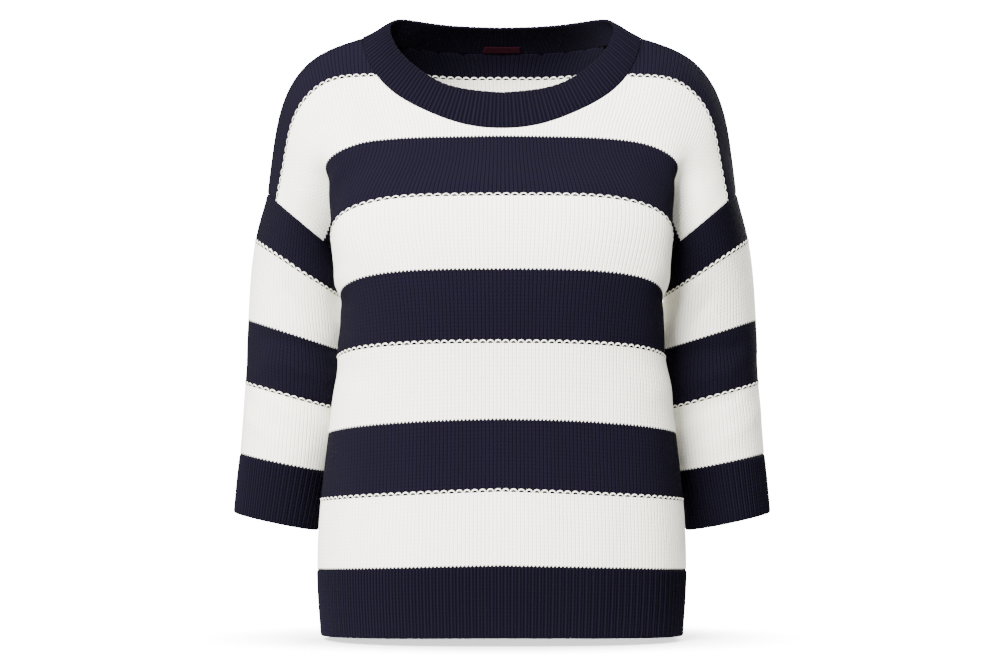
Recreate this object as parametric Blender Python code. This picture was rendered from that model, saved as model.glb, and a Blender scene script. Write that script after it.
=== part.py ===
"""Striped jumper with dropped shoulders, filled out and hollow.

Metres, +Z up, front towards -Y, the wearer's left towards +X. The origin is level with the
shoulder seams, midway between them, where a pair of shoulders holds the jumper up.
Every wall is worked out from short tables of sections, in millimetres, and made a closed solid.
"""

from collections import namedtuple

import bpy
import numpy as np

MM = 0.001

# Cloth
WALL = 2.5
SEAM_GAP = 0.3
ARMPIT_GAP = 1.4
ARMPIT_REACH = 24.0
ARMPIT_WALL = 1.6
ARMPIT_SLEEVE_SHIFT = (1.6, 0.0, -0.8)
RIB_RISE = 1.3
RIB_DIP = 0.5

# Courses: heights in the flat knitted panel above the hem seam
STRIPE = 72.0
ARMPIT_COURSE = 5 * STRIPE
SHOULDER_COURSE = 550.0
NECK_FRONT_COURSE = 442.0
NECK_BACK_COURSE = 538.0
HEM_RIB = 70.0

# Body rings: the table's rows go up from the bottom of the hem. y_side is where a ring is widest.
SIDE_SEAM_Y = 24.0
FRONT_SQUARENESS = 2.45
BACK_SQUARENESS = 1.9
Ring = namedtuple("Ring", "course half_width y_front y_side y_back z_front z_side z_back arch")
RINGS = (
    Ring(-HEM_RIB, 180.0, -109, -8, 112, -592.0, -598.0, -594.0, 1.5),
    Ring(0 * STRIPE, 184.0, -112, -8, 116, -521.8, -533.0, -526.0, 1.1),
    Ring(1 * STRIPE, 180.0, -109, -12, 114, -449.3, -466.0, -457.0, 1.0),
    Ring(2 * STRIPE, 172.0, -108, -20, 108, -379.8, -403.0, -391.0, 1.4),
    Ring(3 * STRIPE, 163.0, -113, -30, 104, -305.3, -333.0, -320.0, 2.0),
    Ring(4 * STRIPE, 160.5, -119, -46, 110, -234.4, -293.0, -252.0, 2.6),
    Ring(5 * STRIPE, 168.0, -108, -60, 121, -162.3, -250.0, -180.0, 2.7),
)

# Armhole seam: an ellipse in a tilted plane, from the shoulder tip round the front to the armpit
ARMHOLE_CENTRE = (199.2, 23.0, -186.0)
ARMHOLE_TO_TIP = (36.2, -8.0, 30.0)
ARMHOLE_HALF_DEPTH = 60.0

# Yoke: courses above the armpit, each row from the panel's middle line out to the armhole seam.
# The last column is how far round the armhole the row ends, in degrees from the shoulder tip.
COLUMNS = (0.0, 0.22, 0.42, 0.56, 0.70, 0.85, 1.0)
YokeRow = namedtuple("YokeRow", "course centre inner neck shoulder fold valley armhole_angle")
FRONT_YOKE = (
    YokeRow(6 * STRIPE, (0, -74, -103.3), (58, -73, -104), (110, -69, -106),
            (147, -63, -112.5), (173, -54, -131), (166, -27, -163), 128),
    YokeRow(6.5 * STRIPE, (0, -56, -70), (64, -56, -70.5), (122, -52, -75.5),
            (158, -50, -84), (187, -44, -107), (196, -40, -147), 86),
    YokeRow(7 * STRIPE, (0, -36, -38), (70, -36, -38.5), (133, -31, -41.5),
            (173, -28, -47), (203, -25, -76), (215, -24, -121), 48),
    YokeRow(SHOULDER_COURSE, (0, -6, 6), (76, -4, 6), (140, 2, 0),
            (186, 5, -18.5), (215.5, 7, -54), (229, 9, -104), 0),
)
BACK_YOKE = (
    YokeRow(6 * STRIPE, (0, 122, -104), (58, 120, -104), (112, 111, -105),
            (146, 101, -115), (167, 91, -138), (169, 80, -170), 128),
    YokeRow(6.5 * STRIPE, (0, 119, -69), (66, 113, -68), (125, 87, -66),
            (161, 75, -77), (191, 74, -103), (201, 77, -145), 86),
    YokeRow(7 * STRIPE, (0, 108, -34), (72, 96, -33), (134, 50, -29),
            (177, 43, -37), (208, 46, -69), (220, 52, -117), 48),
    YokeRow(SHOULDER_COURSE, (0, 89, 0), (88, 66, 2), (140, 2, 0),
            (186, 5, -18.5), (215.5, 7, -54), (229, 9, -104), 0),
)
NECK_COLUMN = 0.42
FRONT_NECK_SQUARENESS = 2.15
BACK_NECK_SQUARENESS = 2.6

# Neckband: its inner edge from the front round one side to the back, by angle round the neck
NeckPoint = namedtuple("NeckPoint", "angle z")
NECK_HALF_WIDTH = 112.0
NECK_Y_FRONT = -42.0
NECK_Y_BACK = 56.0
NECK_EDGE = (
    NeckPoint(0, -57), NeckPoint(33, -46), NeckPoint(47, -33), NeckPoint(66, -13),
    NeckPoint(80, 2), NeckPoint(92, 11.5), NeckPoint(108, 20), NeckPoint(125, 21),
    NeckPoint(150, 17.5), NeckPoint(180, 15.6),
)
NECK_SHOULDER_ANGLE = 97.0
NECKBAND_BULGE = 2.0
NECK_SOFTNESS = 16.0
NECK_STEPS = 240

# Sleeves: sections down the arm, half_width in the tilted plane, half_depth along Y
Section = namedtuple("Section", "along x y z half_width half_depth tilt")
SLEEVE_LENGTH = 240.0
CUFF_LENGTH = 60.0
SLEEVE_SECTIONS = (
    Section(41.0, 205.5, 36, -232.0, 51.0, 57.0, 33),
    Section(108.0, 207.0, 46, -298.5, 51.5, 54.0, 17.5),
    Section(172.0, 211.5, 51, -360.4, 51.5, 51.0, 15.5),
    Section(SLEEVE_LENGTH, 220.4, 54, -427.0, 47.3, 47.0, 11.5),
    Section(SLEEVE_LENGTH + CUFF_LENGTH, 229.5, 55, -486.4, 43.6, 44.0, 12),
)

# Counts: body columns and rows, ribs round each band
NECK_COLUMNS = 10
SHOULDER_COLUMNS = 8
BODY_ROWS = 13
ARMPIT_ROW = BODY_ROWS
ARMPIT_ROWS = 3
YOKE_ROWS = 8
SLEEVE_ROWS = 10
HEM_RIBS = 82
CUFF_RIBS = 48
NECK_RIBS = 88
RIB_COLUMNS = 2
INNER_RIBS = 2
HEM_ROWS = 2
CUFF_ROWS = 2
NECKBAND_ROWS = 2
RING_STEPS = 180
EDGE_STEPS = 60

# Small steps over which a surface's slopes are measured
COLUMN_STEP = 0.004
COURSE_STEP = 1.0
ANGLE_STEP = 0.01
SAME = 1e-6

# Label on the inside of the neckband, at the middle of the back
LABEL_HALF_WIDTH = 20.0
LABEL_FROM = 0.06
LABEL_TO = 0.28
LABEL_THICKNESS = 0.8
LABEL_GAP = 0.5
LABEL_STEPS = 24
LABEL_COLUMNS = 4
LABEL_ROWS = 2

# Colours
NAVY = (0.020, 0.019, 0.034)
IVORY = (0.84, 0.83, 0.78)
LABEL_RED = (0.10, 0.012, 0.018)


def spline_weights(knots, places):
    """Rows of weights that turn values at the knots into a natural cubic spline's values at the places."""
    knots = np.asarray(knots, float)
    places = np.asarray(places, float).ravel()
    steps = np.diff(knots)
    count = len(knots)
    bend = np.eye(count)
    slope = np.zeros((count, count))
    for k in range(1, count - 1):
        bend[k, k - 1:k + 2] = steps[k - 1], 2 * (steps[k - 1] + steps[k]), steps[k]
        slope[k, k - 1:k + 2] = 6 / steps[k - 1], -6 / steps[k - 1] - 6 / steps[k], 6 / steps[k]
    second = np.linalg.solve(bend, slope)
    span = np.clip(np.searchsorted(knots, places) - 1, 0, count - 2)
    width = steps[span][:, None]
    after = (places - knots[span])[:, None] / width
    before = 1 - after
    knot = np.eye(count)
    cubic = (before ** 3 - before) * second[span] + (after ** 3 - after) * second[span + 1]
    return before * knot[span] + after * knot[span + 1] + cubic * width ** 2 / 6


def unit(vectors):
    return vectors / np.maximum(np.linalg.norm(vectors, axis=-1, keepdims=True), 1e-12)


def power(base, exponent):
    return np.maximum(base, 0.0) ** exponent


def seam_turn(ring):
    """The angle at which the side seam crosses a body ring."""
    share = (SIDE_SEAM_Y - ring.y_side) / (ring.y_back - ring.y_side)
    return np.pi - np.arccos(share ** (BACK_SQUARENESS / 2))


def ring_points(ring, angles):
    """Points on a body ring from the front middle (0) round one side to the back middle (pi)."""
    front = angles <= np.pi / 2
    squareness = np.where(front, FRONT_SQUARENESS, BACK_SQUARENESS)
    across = power(np.sin(angles), 2 / squareness)
    along = power(np.abs(np.cos(angles)), 2 / squareness)
    reach = np.where(front, ring.y_front, ring.y_back) - ring.y_side
    seam = seam_turn(ring)
    to_seam = angles <= seam
    share = np.where(to_seam, angles / seam, (np.pi - angles) / (np.pi - seam))
    middle = np.where(to_seam, ring.z_front, ring.z_back)
    z = middle + (ring.z_side - middle) * power(share, ring.arch)
    return np.stack([ring.half_width * across, ring.y_side + reach * along, z], axis=-1)


def ring_stations(ring, front):
    """The points of one panel's columns on a body ring, spaced by their share of its length."""
    ends = (0.0 if front else np.pi, seam_turn(ring))
    angles = np.linspace(*ends, RING_STEPS + 1)
    points = ring_points(ring, angles)
    length = np.concatenate([[0], np.cumsum(np.linalg.norm(np.diff(points, axis=0), axis=1))])
    return ring_points(ring, np.interp(np.array(COLUMNS) * length[-1], length, angles))


def armhole(angles, front=True):
    """Points on the armhole seam, by angle in radians from the shoulder tip."""
    side = np.array([0.0, -1.0 if front else 1.0, 0.0])
    cos, sin = np.cos(angles)[..., None], np.sin(angles)[..., None]
    return np.array(ARMHOLE_CENTRE) + cos * np.array(ARMHOLE_TO_TIP) + sin * ARMHOLE_HALF_DEPTH * side


def side_seam(course):
    """Points down the side seam, below the armpit."""
    seam = np.array([ring_points(ring, np.array(seam_turn(ring))) for ring in RINGS])
    seam[-1] = armhole(np.array(np.pi))
    return spline_weights([ring.course for ring in RINGS], course) @ seam


def armhole_angle(course):
    """How far round the armhole a course ends, in radians from the shoulder tip."""
    knots = [ARMPIT_COURSE] + [row.course for row in FRONT_YOKE]
    angles = [180] + [row.armhole_angle for row in FRONT_YOKE]
    return np.radians(spline_weights(knots, course) @ np.array(angles))


def ease(share):
    share = np.clip(share, 0, 1)
    return share * share * (3 - 2 * share)


class Panel:
    """Half of the front or back body, as a smooth surface over column (0 to 1) and course."""

    def __init__(self, front):
        self.front = front
        self.squareness = FRONT_NECK_SQUARENESS if front else BACK_NECK_SQUARENESS
        yoke = FRONT_YOKE if front else BACK_YOKE
        rows = [ring_stations(ring, front) for ring in RINGS]
        rows[-1][-1] = armhole(np.array(np.pi), front)
        for row in yoke:
            seam = armhole(np.radians(row.armhole_angle), front)
            rows.append(np.array(list(row[1:-1]) + [seam]))
        self.courses = [ring.course for ring in RINGS] + [row.course for row in yoke]
        self.net = np.array(rows)

    def raw(self, column, course):
        across = spline_weights(COLUMNS, column)
        up = spline_weights(self.courses, course)
        return np.einsum("ir,ic,rcx->ix", up, across, self.net)

    def points(self, column, course):
        """Surface points for arrays of the same shape, drawn to the shared seams at the edges."""
        shape = np.shape(column)
        column, course = np.ravel(column), np.ravel(course)
        flat = self.raw(column, course)
        below = side_seam(course)
        above = armhole(armhole_angle(np.maximum(course, ARMPIT_COURSE)), self.front)
        edge = np.where((course < ARMPIT_COURSE)[:, None], below, above)
        pull = edge - self.raw(np.ones_like(column), course)
        flat = flat + ease((column - COLUMNS[-2]) / (1 - COLUMNS[-2]))[:, None] * pull
        over = np.maximum(column, NECK_COLUMN)
        seam = spline_weights(COLUMNS[2:], over) @ self.net[-1, 2:]
        lift = seam - self.raw(over, np.full_like(course, SHOULDER_COURSE))
        rise = ease((course - 7 * STRIPE) / (SHOULDER_COURSE - 7 * STRIPE))
        flat = flat + np.where(column >= NECK_COLUMN, rise, 0)[:, None] * lift
        return flat.reshape(shape + (3,))

    def normals(self, column, course):
        left, right = np.maximum(column - COLUMN_STEP, 0), np.minimum(column + COLUMN_STEP, 1)
        low, high = course - COURSE_STEP, np.minimum(course + COURSE_STEP, SHOULDER_COURSE)
        across = self.points(right, course) - self.points(left, course)
        up = self.points(column, high) - self.points(column, low)
        across[..., 0] = np.where(column < COLUMN_STEP, 1.0, across[..., 0])
        return unit(np.cross(across, up)) * (1 if self.front else -1)

    def neckline(self, column):
        """Course of the neckline at a column inside NECK_COLUMN."""
        low = NECK_FRONT_COURSE if self.front else NECK_BACK_COURSE
        inside = np.clip(column / NECK_COLUMN, 0, 1)
        share = power(1 - inside ** self.squareness, 1 / self.squareness)
        return SHOULDER_COURSE - (SHOULDER_COURSE - low) * share


def seam_normals(course, panels, sleeve, front):
    """Directions out of the wall at a panel's outer edge, the same for the pieces that meet there."""
    one = np.ones_like(course)
    ours, other = panels[front].normals(one, course), panels[not front].normals(one, course)
    angle = armhole_angle(np.maximum(course, ARMPIT_COURSE)) * (1 if front else -1)
    tube = sleeve.normals(angle, np.zeros_like(angle))
    at_armpit = np.abs(course - ARMPIT_COURSE) < SAME
    below = course < ARMPIT_COURSE - SAME
    beyond = np.where((at_armpit | below)[:, None], other, 0)
    return unit(ours + beyond + np.where(below[:, None], 0, tube))


def near_armpit(points):
    """1 at the armpit, where three pieces meet in a fold, falling to 0 away from it."""
    side = np.stack([np.abs(points[..., 0]), points[..., 1], points[..., 2]], axis=-1)
    away = np.linalg.norm(side - armhole(np.array(np.pi)), axis=-1, keepdims=True)
    return np.exp(-(away / ARMPIT_REACH) ** 2)


def half_gap(points):
    """Half of the gap to the next piece."""
    return (SEAM_GAP + (ARMPIT_GAP - SEAM_GAP) * near_armpit(points)) / 2


def wall_at(points):
    """Thickness of the cloth, pressed thinner in the armpit's fold."""
    return WALL + (ARMPIT_WALL - WALL) * near_armpit(points)


def slide(points, inside):
    """How far a boundary line draws back square to itself, towards the points named inside."""
    along = unit(np.gradient(points, axis=0))
    inward = inside - points
    square = inward - np.sum(inward * along, axis=-1, keepdims=True) * along
    return unit(square) * half_gap(points)


def panel_grid(panel):
    """Columns and courses of the panel's mesh from its middle line to its edge."""
    quarter = np.linspace(0, np.pi / 2, NECK_COLUMNS + 1)
    inside = NECK_COLUMN * np.sin(quarter) ** (2 / panel.squareness)
    outside = np.linspace(NECK_COLUMN, 1, SHOULDER_COLUMNS + 1)[1:]
    column = np.concatenate([inside, outside])
    top = np.where(column <= NECK_COLUMN, panel.neckline(column), SHOULDER_COURSE)
    body = np.linspace(0, ARMPIT_COURSE, BODY_ROWS + 1)[:-1]
    chest = np.linspace(ARMPIT_COURSE, 6 * STRIPE, ARMPIT_ROWS + 1)
    level = np.concatenate([body, chest])[:, None] * np.ones_like(column)
    share = np.linspace(0, 1, YOKE_ROWS + 1)[1:, None]
    course = np.concatenate([level, 6 * STRIPE + (top - 6 * STRIPE) * share])
    return np.broadcast_to(column, course.shape).copy(), course


def mirrored(points):
    return points * np.array([-1.0, 1.0, 1.0])


def full_width(half, front):
    """A half grid from the middle line out, joined to its mirror image."""
    whole = np.concatenate([mirrored(half[:, :0:-1]), half], axis=1)
    return whole if front else whole[:, ::-1]


class Body:
    """Both panels as half grids of points and wall directions, before the seam gaps are taken off."""

    def __init__(self):
        self.panels = {True: Panel(True), False: Panel(False)}
        self.sleeve = Sleeve()
        self.points, self.normals = {}, {}
        for front, panel in self.panels.items():
            column, course = panel_grid(panel)
            self.points[front] = panel.points(column, course)
            self.normals[front] = panel.normals(column, course)
            self.edge_courses = course[:, -1]
            self.normals[front][:, -1] = seam_normals(course[:, -1], self.panels, self.sleeve, front)
        shoulder = unit(self.normals[True][-1, NECK_COLUMNS:] + self.normals[False][-1, NECK_COLUMNS:])
        for front in self.panels:
            self.normals[front][-1, NECK_COLUMNS:] = shoulder

    def wall(self, front):
        """The panel's outer and inner grids, full width, with the gaps taken off its edges."""
        points, normals = self.points[front], self.normals[front]
        moved = points.copy()
        neck, over = slice(None, NECK_COLUMNS + 1), slice(NECK_COLUMNS, None)
        for part in (slice(None, ARMPIT_ROW + 1), slice(ARMPIT_ROW, None)):
            moved[part, -1] += slide(points[part, -1], points[part, -2])
        moved[0] += slide(points[0], points[1])
        for part in (neck, over):
            moved[-1, part] += slide(points[-1, part], points[-2, part])
        inner = moved - wall_at(points) * normals
        return full_width(moved, front), full_width(inner, front)

    def neckline(self):
        """The neck seam from the front middle round one side to the back middle, with wall directions."""
        part = slice(None, NECK_COLUMNS + 1)
        front, back = self.points[True][-1, part], self.points[False][-1, part][::-1]
        front_out, back_out = self.normals[True][-1, part], self.normals[False][-1, part][::-1]
        return np.concatenate([front, back[1:]]), np.concatenate([front_out, back_out[1:]])


def lengths(points):
    return np.concatenate([[0], np.cumsum(np.linalg.norm(np.diff(points, axis=0), axis=1))])


def spread(line, values, shares):
    """Values carried by a line's points, read at shares of its length."""
    length = lengths(line)
    return np.stack([np.interp(shares * length[-1], length, axis) for axis in values.T], axis=-1)


def grid_normals(grid):
    """Wall directions of a grid whose columns go right and rows go up, seen from outside."""
    across = np.gradient(grid, axis=1)
    up = np.gradient(grid, axis=0)
    return unit(np.cross(across, up))


def ribbed(points, normals, columns_per_rib):
    """Raises every other column, and lowers the rest a little."""
    phase = np.arange(points.shape[1]) % columns_per_rib
    height = np.where(phase == 0, -RIB_DIP, RIB_RISE)
    return points + height[None, :, None] * normals


def neck_inner_edge(angles):
    """The neckband's free edge, by angle in degrees from the front middle to the back middle."""
    turn = np.radians(angles)
    middle, reach = (NECK_Y_BACK + NECK_Y_FRONT) / 2, (NECK_Y_BACK - NECK_Y_FRONT) / 2
    z = spline_weights([p.angle for p in NECK_EDGE], angles) @ np.array([p.z for p in NECK_EDGE])
    return np.stack([NECK_HALF_WIDTH * np.sin(turn), middle - reach * np.cos(turn), z], axis=-1)


def rounded(seam, outward, corner):
    """The neck seam and its wall directions with the turn at the shoulder made round."""
    shares = np.linspace(0, 1, NECK_STEPS + 1)
    total = lengths(seam)[-1]
    line, out = spread(seam, seam, shares), unit(spread(seam, outward, shares))
    weights = np.exp(-((shares[:, None] - shares) * total / NECK_SOFTNESS) ** 2)
    weights = weights / weights.sum(axis=1, keepdims=True)
    near = np.exp(-((shares - corner) * total / (3 * NECK_SOFTNESS)) ** 2)[:, None]
    return line + near * (weights @ line - line), unit(out + near * (weights @ out - out))


def neckband_half(body, shares, rise):
    """Half of the neckband: points and wall directions, rows from the neck seam to the free edge."""
    seam, outward = body.neckline()
    length = lengths(seam)
    corner = length[NECK_COLUMNS] / length[-1]
    low, low_out = spread(seam, seam, shares), unit(spread(seam, outward, shares))
    round_line, round_out = rounded(seam, outward, corner)
    round_low = spread(round_line, round_line, shares)
    parts = ((0, NECK_SHOULDER_ANGLE), (NECK_SHOULDER_ANGLE, 180))
    edges = [neck_inner_edge(np.linspace(*part, EDGE_STEPS)) for part in parts]
    first = spread(edges[0], edges[0], np.clip(shares / corner, 0, 1))
    second = spread(edges[1], edges[1], np.clip((shares - corner) / (1 - corner), 0, 1))
    high = np.where((shares <= corner)[:, None], first, second)
    low = low + slide(low, high)
    rise = rise[:, None, None]
    low = low + (round_low - low) * ease(2 * rise)
    bulge = NECKBAND_BULGE * 4 * rise * (1 - rise) * spread(round_line, round_out, shares)
    grid = low * (1 - rise) + high * rise + bulge
    normals = grid_normals(grid)
    normals[..., 0][:, [0, -1]] = 0
    if rise[0] == 0:
        normals[0] = low_out
    return grid, unit(normals)


def neckband(body):
    half_spans = NECK_RIBS * RIB_COLUMNS // 2
    shares = np.linspace(0, 1, half_spans + 1)
    grid, normals = neckband_half(body, shares, np.linspace(0, 1, NECKBAND_ROWS + 1))
    grid = np.concatenate([grid, mirrored(grid[:, -2:0:-1])], axis=1)
    normals = np.concatenate([normals, mirrored(normals[:, -2:0:-1])], axis=1)
    inner = (grid - WALL * normals)[:, ::RIB_COLUMNS * INNER_RIBS]
    shell("neckband", ribbed(grid, normals, RIB_COLUMNS), inner, NAVY, closed=True)


def neck_label(body):
    seam, _ = body.neckline()
    reach = LABEL_HALF_WIDTH / lengths(seam)[-1]
    shares = np.linspace(1 - reach, 1, LABEL_COLUMNS + 1)
    grid, normals = neckband_half(body, shares, np.linspace(0, 1, LABEL_STEPS + 1))
    pick = np.rint(np.linspace(LABEL_FROM, LABEL_TO, LABEL_ROWS + 1) * LABEL_STEPS).astype(int)
    back = (grid - (WALL + LABEL_GAP) * normals)[pick]
    front = (grid - (WALL + LABEL_GAP + LABEL_THICKNESS) * normals)[pick]
    whole = [np.concatenate([part, mirrored(part[:, -2::-1])], axis=1) for part in (front, back)]
    shell("neck_label", whole[0][:, ::-1], whole[1][:, ::-1], LABEL_RED, closed=False)


def hem_rib(body, front):
    panel = body.panels[front]
    spans = HEM_RIBS * RIB_COLUMNS // 2
    shares = np.linspace(0, 1, spans + 1)
    course = np.linspace(-HEM_RIB, 0, HEM_ROWS + 1)[:, None] * np.ones(spans + 1)
    column = np.broadcast_to(shares, course.shape)
    grid = panel.points(column, course)
    normals = panel.normals(column, course)
    normals[:, -1] = seam_normals(course[:, -1], body.panels, body.sleeve, front)
    seam, outward = body.points[front][0], body.normals[front][0]
    grid[-1], normals[-1] = spread(seam, seam, shares), unit(spread(seam, outward, shares))
    moved = grid.copy()
    moved[-1] += slide(grid[-1], grid[-2])
    moved[:, -1] += slide(grid[:, -1], grid[:, -2])
    whole, out = full_width(moved, front), full_width(moved + normals, front) - full_width(moved, front)
    inner = (whole - WALL * out)[:, ::RIB_COLUMNS * INNER_RIBS]
    name = "hem_rib_front" if front else "hem_rib_back"
    outer = ribbed(whole, out, RIB_COLUMNS)
    outer[:, [0, -1]] = whole[:, [0, -1]]
    shell(name, outer, inner, NAVY, closed=False)


class Sleeve:
    """The sleeve on the wearer's left, as a smooth tube over angle and distance from the armhole."""

    def __init__(self):
        rows = [(0.0, np.array(ARMHOLE_CENTRE), np.array(ARMHOLE_TO_TIP), ARMHOLE_HALF_DEPTH)]
        for cut in SLEEVE_SECTIONS:
            tilt = np.radians(cut.tilt)
            to_tip = cut.half_width * np.array([np.cos(tilt), 0, np.sin(tilt)])
            rows.append((cut.along, np.array([cut.x, cut.y, cut.z]), to_tip, cut.half_depth))
        self.along = [row[0] for row in rows]
        self.values = np.array([np.concatenate([row[1], row[2], [row[3]]]) for row in rows])

    def points(self, angle, along):
        value = spline_weights(self.along, along) @ self.values
        shape = np.shape(angle)
        cos, sin = np.cos(np.ravel(angle))[:, None], np.sin(np.ravel(angle))[:, None]
        forward = np.array([0.0, -1.0, 0.0])
        flat = value[:, :3] + cos * value[:, 3:6] + sin * value[:, 6:] * forward
        return flat.reshape(shape + (3,))

    def normals(self, angle, along):
        across = self.points(angle - ANGLE_STEP, along) - self.points(angle + ANGLE_STEP, along)
        up = self.points(angle, along - COURSE_STEP) - self.points(angle, along + COURSE_STEP)
        return unit(np.cross(across, up))


def sleeve_grids(body, sleeve):
    """Points and wall directions of the sleeve's tube, rows up from the cuff seam to the armhole."""
    courses = body.edge_courses[body.edge_courses >= ARMPIT_COURSE - SAME]
    half = armhole_angle(courses)
    angles = np.concatenate([half, -half[-2:0:-1]])
    along = np.linspace(SLEEVE_LENGTH, 0, SLEEVE_ROWS + 1)[:, None] * np.ones_like(angles)
    angle = np.broadcast_to(angles, along.shape)
    grid, normals = sleeve.points(angle, along), sleeve.normals(angle, along)
    front = seam_normals(courses, body.panels, sleeve, True)
    back = seam_normals(courses, body.panels, sleeve, False)
    normals[-1] = np.concatenate([front, back[-2:0:-1]])
    return grid, normals


def closed_slide(points, inside):
    """The same as slide, for a line that meets itself."""
    loops = [np.concatenate([line[-2:], line, line[:2]]) for line in (points, inside)]
    return slide(*loops)[2:-2]


def sleeve_and_cuff(body, side):
    sleeve = body.sleeve
    grid, normals = sleeve_grids(body, sleeve)
    moved = grid.copy()
    moved[-1] += closed_slide(grid[-1], grid[-2])
    moved[-1] += near_armpit(grid[-1]) * np.array(ARMPIT_SLEEVE_SHIFT)
    moved[0] += closed_slide(grid[0], grid[1])
    tube = moved, moved - wall_at(grid) * normals

    spans = CUFF_RIBS * RIB_COLUMNS
    ring = np.concatenate([grid[0], grid[0][:1]])
    ring_out = np.concatenate([normals[0], normals[0][:1]])
    shares = np.arange(spans) / spans
    half = armhole_angle(body.edge_courses[-ARMPIT_ROWS - YOKE_ROWS - 1:])
    angles = np.concatenate([half, -half[-2::-1]])
    angle = np.interp(shares * lengths(ring)[-1], lengths(ring), angles)
    along = np.linspace(SLEEVE_LENGTH + CUFF_LENGTH, SLEEVE_LENGTH, CUFF_ROWS + 1)[:, None]
    along = along * np.ones(spans)
    band = sleeve.points(np.broadcast_to(angle, along.shape), along)
    out = sleeve.normals(np.broadcast_to(angle, along.shape), along)
    band[-1], out[-1] = spread(ring, ring, shares), unit(spread(ring, ring_out, shares))
    band[-1] += closed_slide(band[-1], band[-2])
    cuff = ribbed(band, out, RIB_COLUMNS), (band - WALL * out)[:, ::RIB_COLUMNS * INNER_RIBS]

    for name, colour, walls in (("sleeve", IVORY, tube), ("cuff", NAVY, cuff)):
        if side == "right":
            walls = [mirrored(wall)[:, ::-1] for wall in walls]
            walls[0] = np.roll(walls[0], 1, axis=1)
            walls[1] = np.roll(walls[1], 1, axis=1)
        shell(f"{name}_{side}", *walls, colour, closed=True)


def build_mesh(name, points, faces, colour, roughness=0.9):
    mesh = bpy.data.meshes.new(name)
    mesh.from_pydata((points * MM).tolist(), [], faces)
    mesh.validate()
    obj = bpy.data.objects.new(name, mesh)
    bpy.context.collection.objects.link(obj)
    material = bpy.data.materials.new(name)
    material.use_nodes = True
    shader = material.node_tree.nodes["Principled BSDF"]
    shader.inputs["Base Color"].default_value = (*colour, 1)
    shader.inputs["Roughness"].default_value = roughness
    mesh.materials.append(material)
    return obj


def halves(points, corners):
    """A four-cornered face as two triangles, split on its shorter diagonal."""
    a, b, c, d = corners
    if np.linalg.norm(points[a] - points[c]) <= np.linalg.norm(points[b] - points[d]):
        return [(a, b, c), (a, c, d)]
    return [(a, b, d), (b, c, d)]


def shell(name, outer, inner, colour, closed):
    """A wall between an outer and an inner grid of points, rows by columns.

    The outer grid may have several columns for each one of the inner grid. A closed grid runs
    round and meets itself, and leaves out its last column. Rows go up, columns go to the right
    as seen from outside.
    """
    rows, wide = outer.shape[:2]
    narrow = inner.shape[1]
    spans_wide = wide if closed else wide - 1
    spans_narrow = narrow if closed else narrow - 1
    ratio = spans_wide // spans_narrow
    points = np.concatenate([outer.reshape(-1, 3), inner.reshape(-1, 3)])
    top = rows - 1

    def out(row, column):
        return row * wide + column % wide

    def within(row, column):
        return rows * wide + row * narrow + column % narrow

    faces = []
    for row in range(top):
        for c in range(spans_wide):
            faces.append((out(row, c), out(row, c + 1), out(row + 1, c + 1), out(row + 1, c)))
        for c in range(spans_narrow):
            faces.append((within(row, c + 1), within(row, c), within(row + 1, c), within(row + 1, c + 1)))
    for c in range(spans_narrow):
        if ratio == 1:
            faces += halves(points, (out(0, c + 1), out(0, c), within(0, c), within(0, c + 1)))
            faces += halves(points, (out(top, c), out(top, c + 1), within(top, c + 1), within(top, c)))
            continue
        for k in range(ratio):
            a, b = c * ratio + k, c * ratio + k + 1
            near = c if 2 * k < ratio else c + 1
            faces.append((out(0, b), out(0, a), within(0, near)))
            faces.append((out(top, a), out(top, b), within(top, near)))
        middle = c * ratio + ratio // 2
        faces.append((out(0, middle), within(0, c), within(0, c + 1)))
        faces.append((out(top, middle), within(top, c + 1), within(top, c)))
    if not closed:
        for row in range(top):
            faces += halves(points, (out(row + 1, 0), within(row + 1, 0), within(row, 0), out(row, 0)))
            faces += halves(points, (out(row, wide - 1), within(row, narrow - 1),
                                     within(row + 1, narrow - 1), out(row + 1, wide - 1)))
    return build_mesh(name, points, faces, colour)


def main():
    for obj in list(bpy.data.objects):
        bpy.data.objects.remove(obj, do_unlink=True)
    body = Body()
    for front, name in ((True, "front_panel"), (False, "back_panel")):
        shell(name, *body.wall(front), IVORY if front else NAVY, closed=False)
        hem_rib(body, front)
    for side in ("left", "right"):
        sleeve_and_cuff(body, side)
    neckband(body)
    neck_label(body)


main()
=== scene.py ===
"""Striped jumper, filled out with no wearer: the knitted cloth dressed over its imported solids.

Every wall is a surface worked out from short tables of sections in millimetres, the same ones
that the solids are made from, and cut much finer. The front faces -Y and +Z is up.
"""

import logging
from dataclasses import dataclass
from enum import Enum

import bpy
import numpy as np
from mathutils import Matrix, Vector
from numpy.typing import NDArray


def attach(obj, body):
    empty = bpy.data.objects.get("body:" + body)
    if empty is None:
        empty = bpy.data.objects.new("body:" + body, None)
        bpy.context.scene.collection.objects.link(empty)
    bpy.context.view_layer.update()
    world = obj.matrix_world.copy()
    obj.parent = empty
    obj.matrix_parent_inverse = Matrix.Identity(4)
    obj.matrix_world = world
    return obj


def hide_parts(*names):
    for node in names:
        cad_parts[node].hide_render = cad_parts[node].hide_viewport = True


logging.basicConfig(level=logging.INFO, format="%(message)s")
LOG = logging.getLogger("jumper")

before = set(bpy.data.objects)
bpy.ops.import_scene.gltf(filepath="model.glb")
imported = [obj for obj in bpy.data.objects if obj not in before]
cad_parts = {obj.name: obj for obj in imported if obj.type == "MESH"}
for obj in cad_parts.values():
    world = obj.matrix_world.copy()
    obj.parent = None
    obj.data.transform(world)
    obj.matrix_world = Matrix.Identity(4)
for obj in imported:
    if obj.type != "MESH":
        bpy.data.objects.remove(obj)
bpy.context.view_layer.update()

Array = NDArray[np.float64]
MM = 0.001

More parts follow.
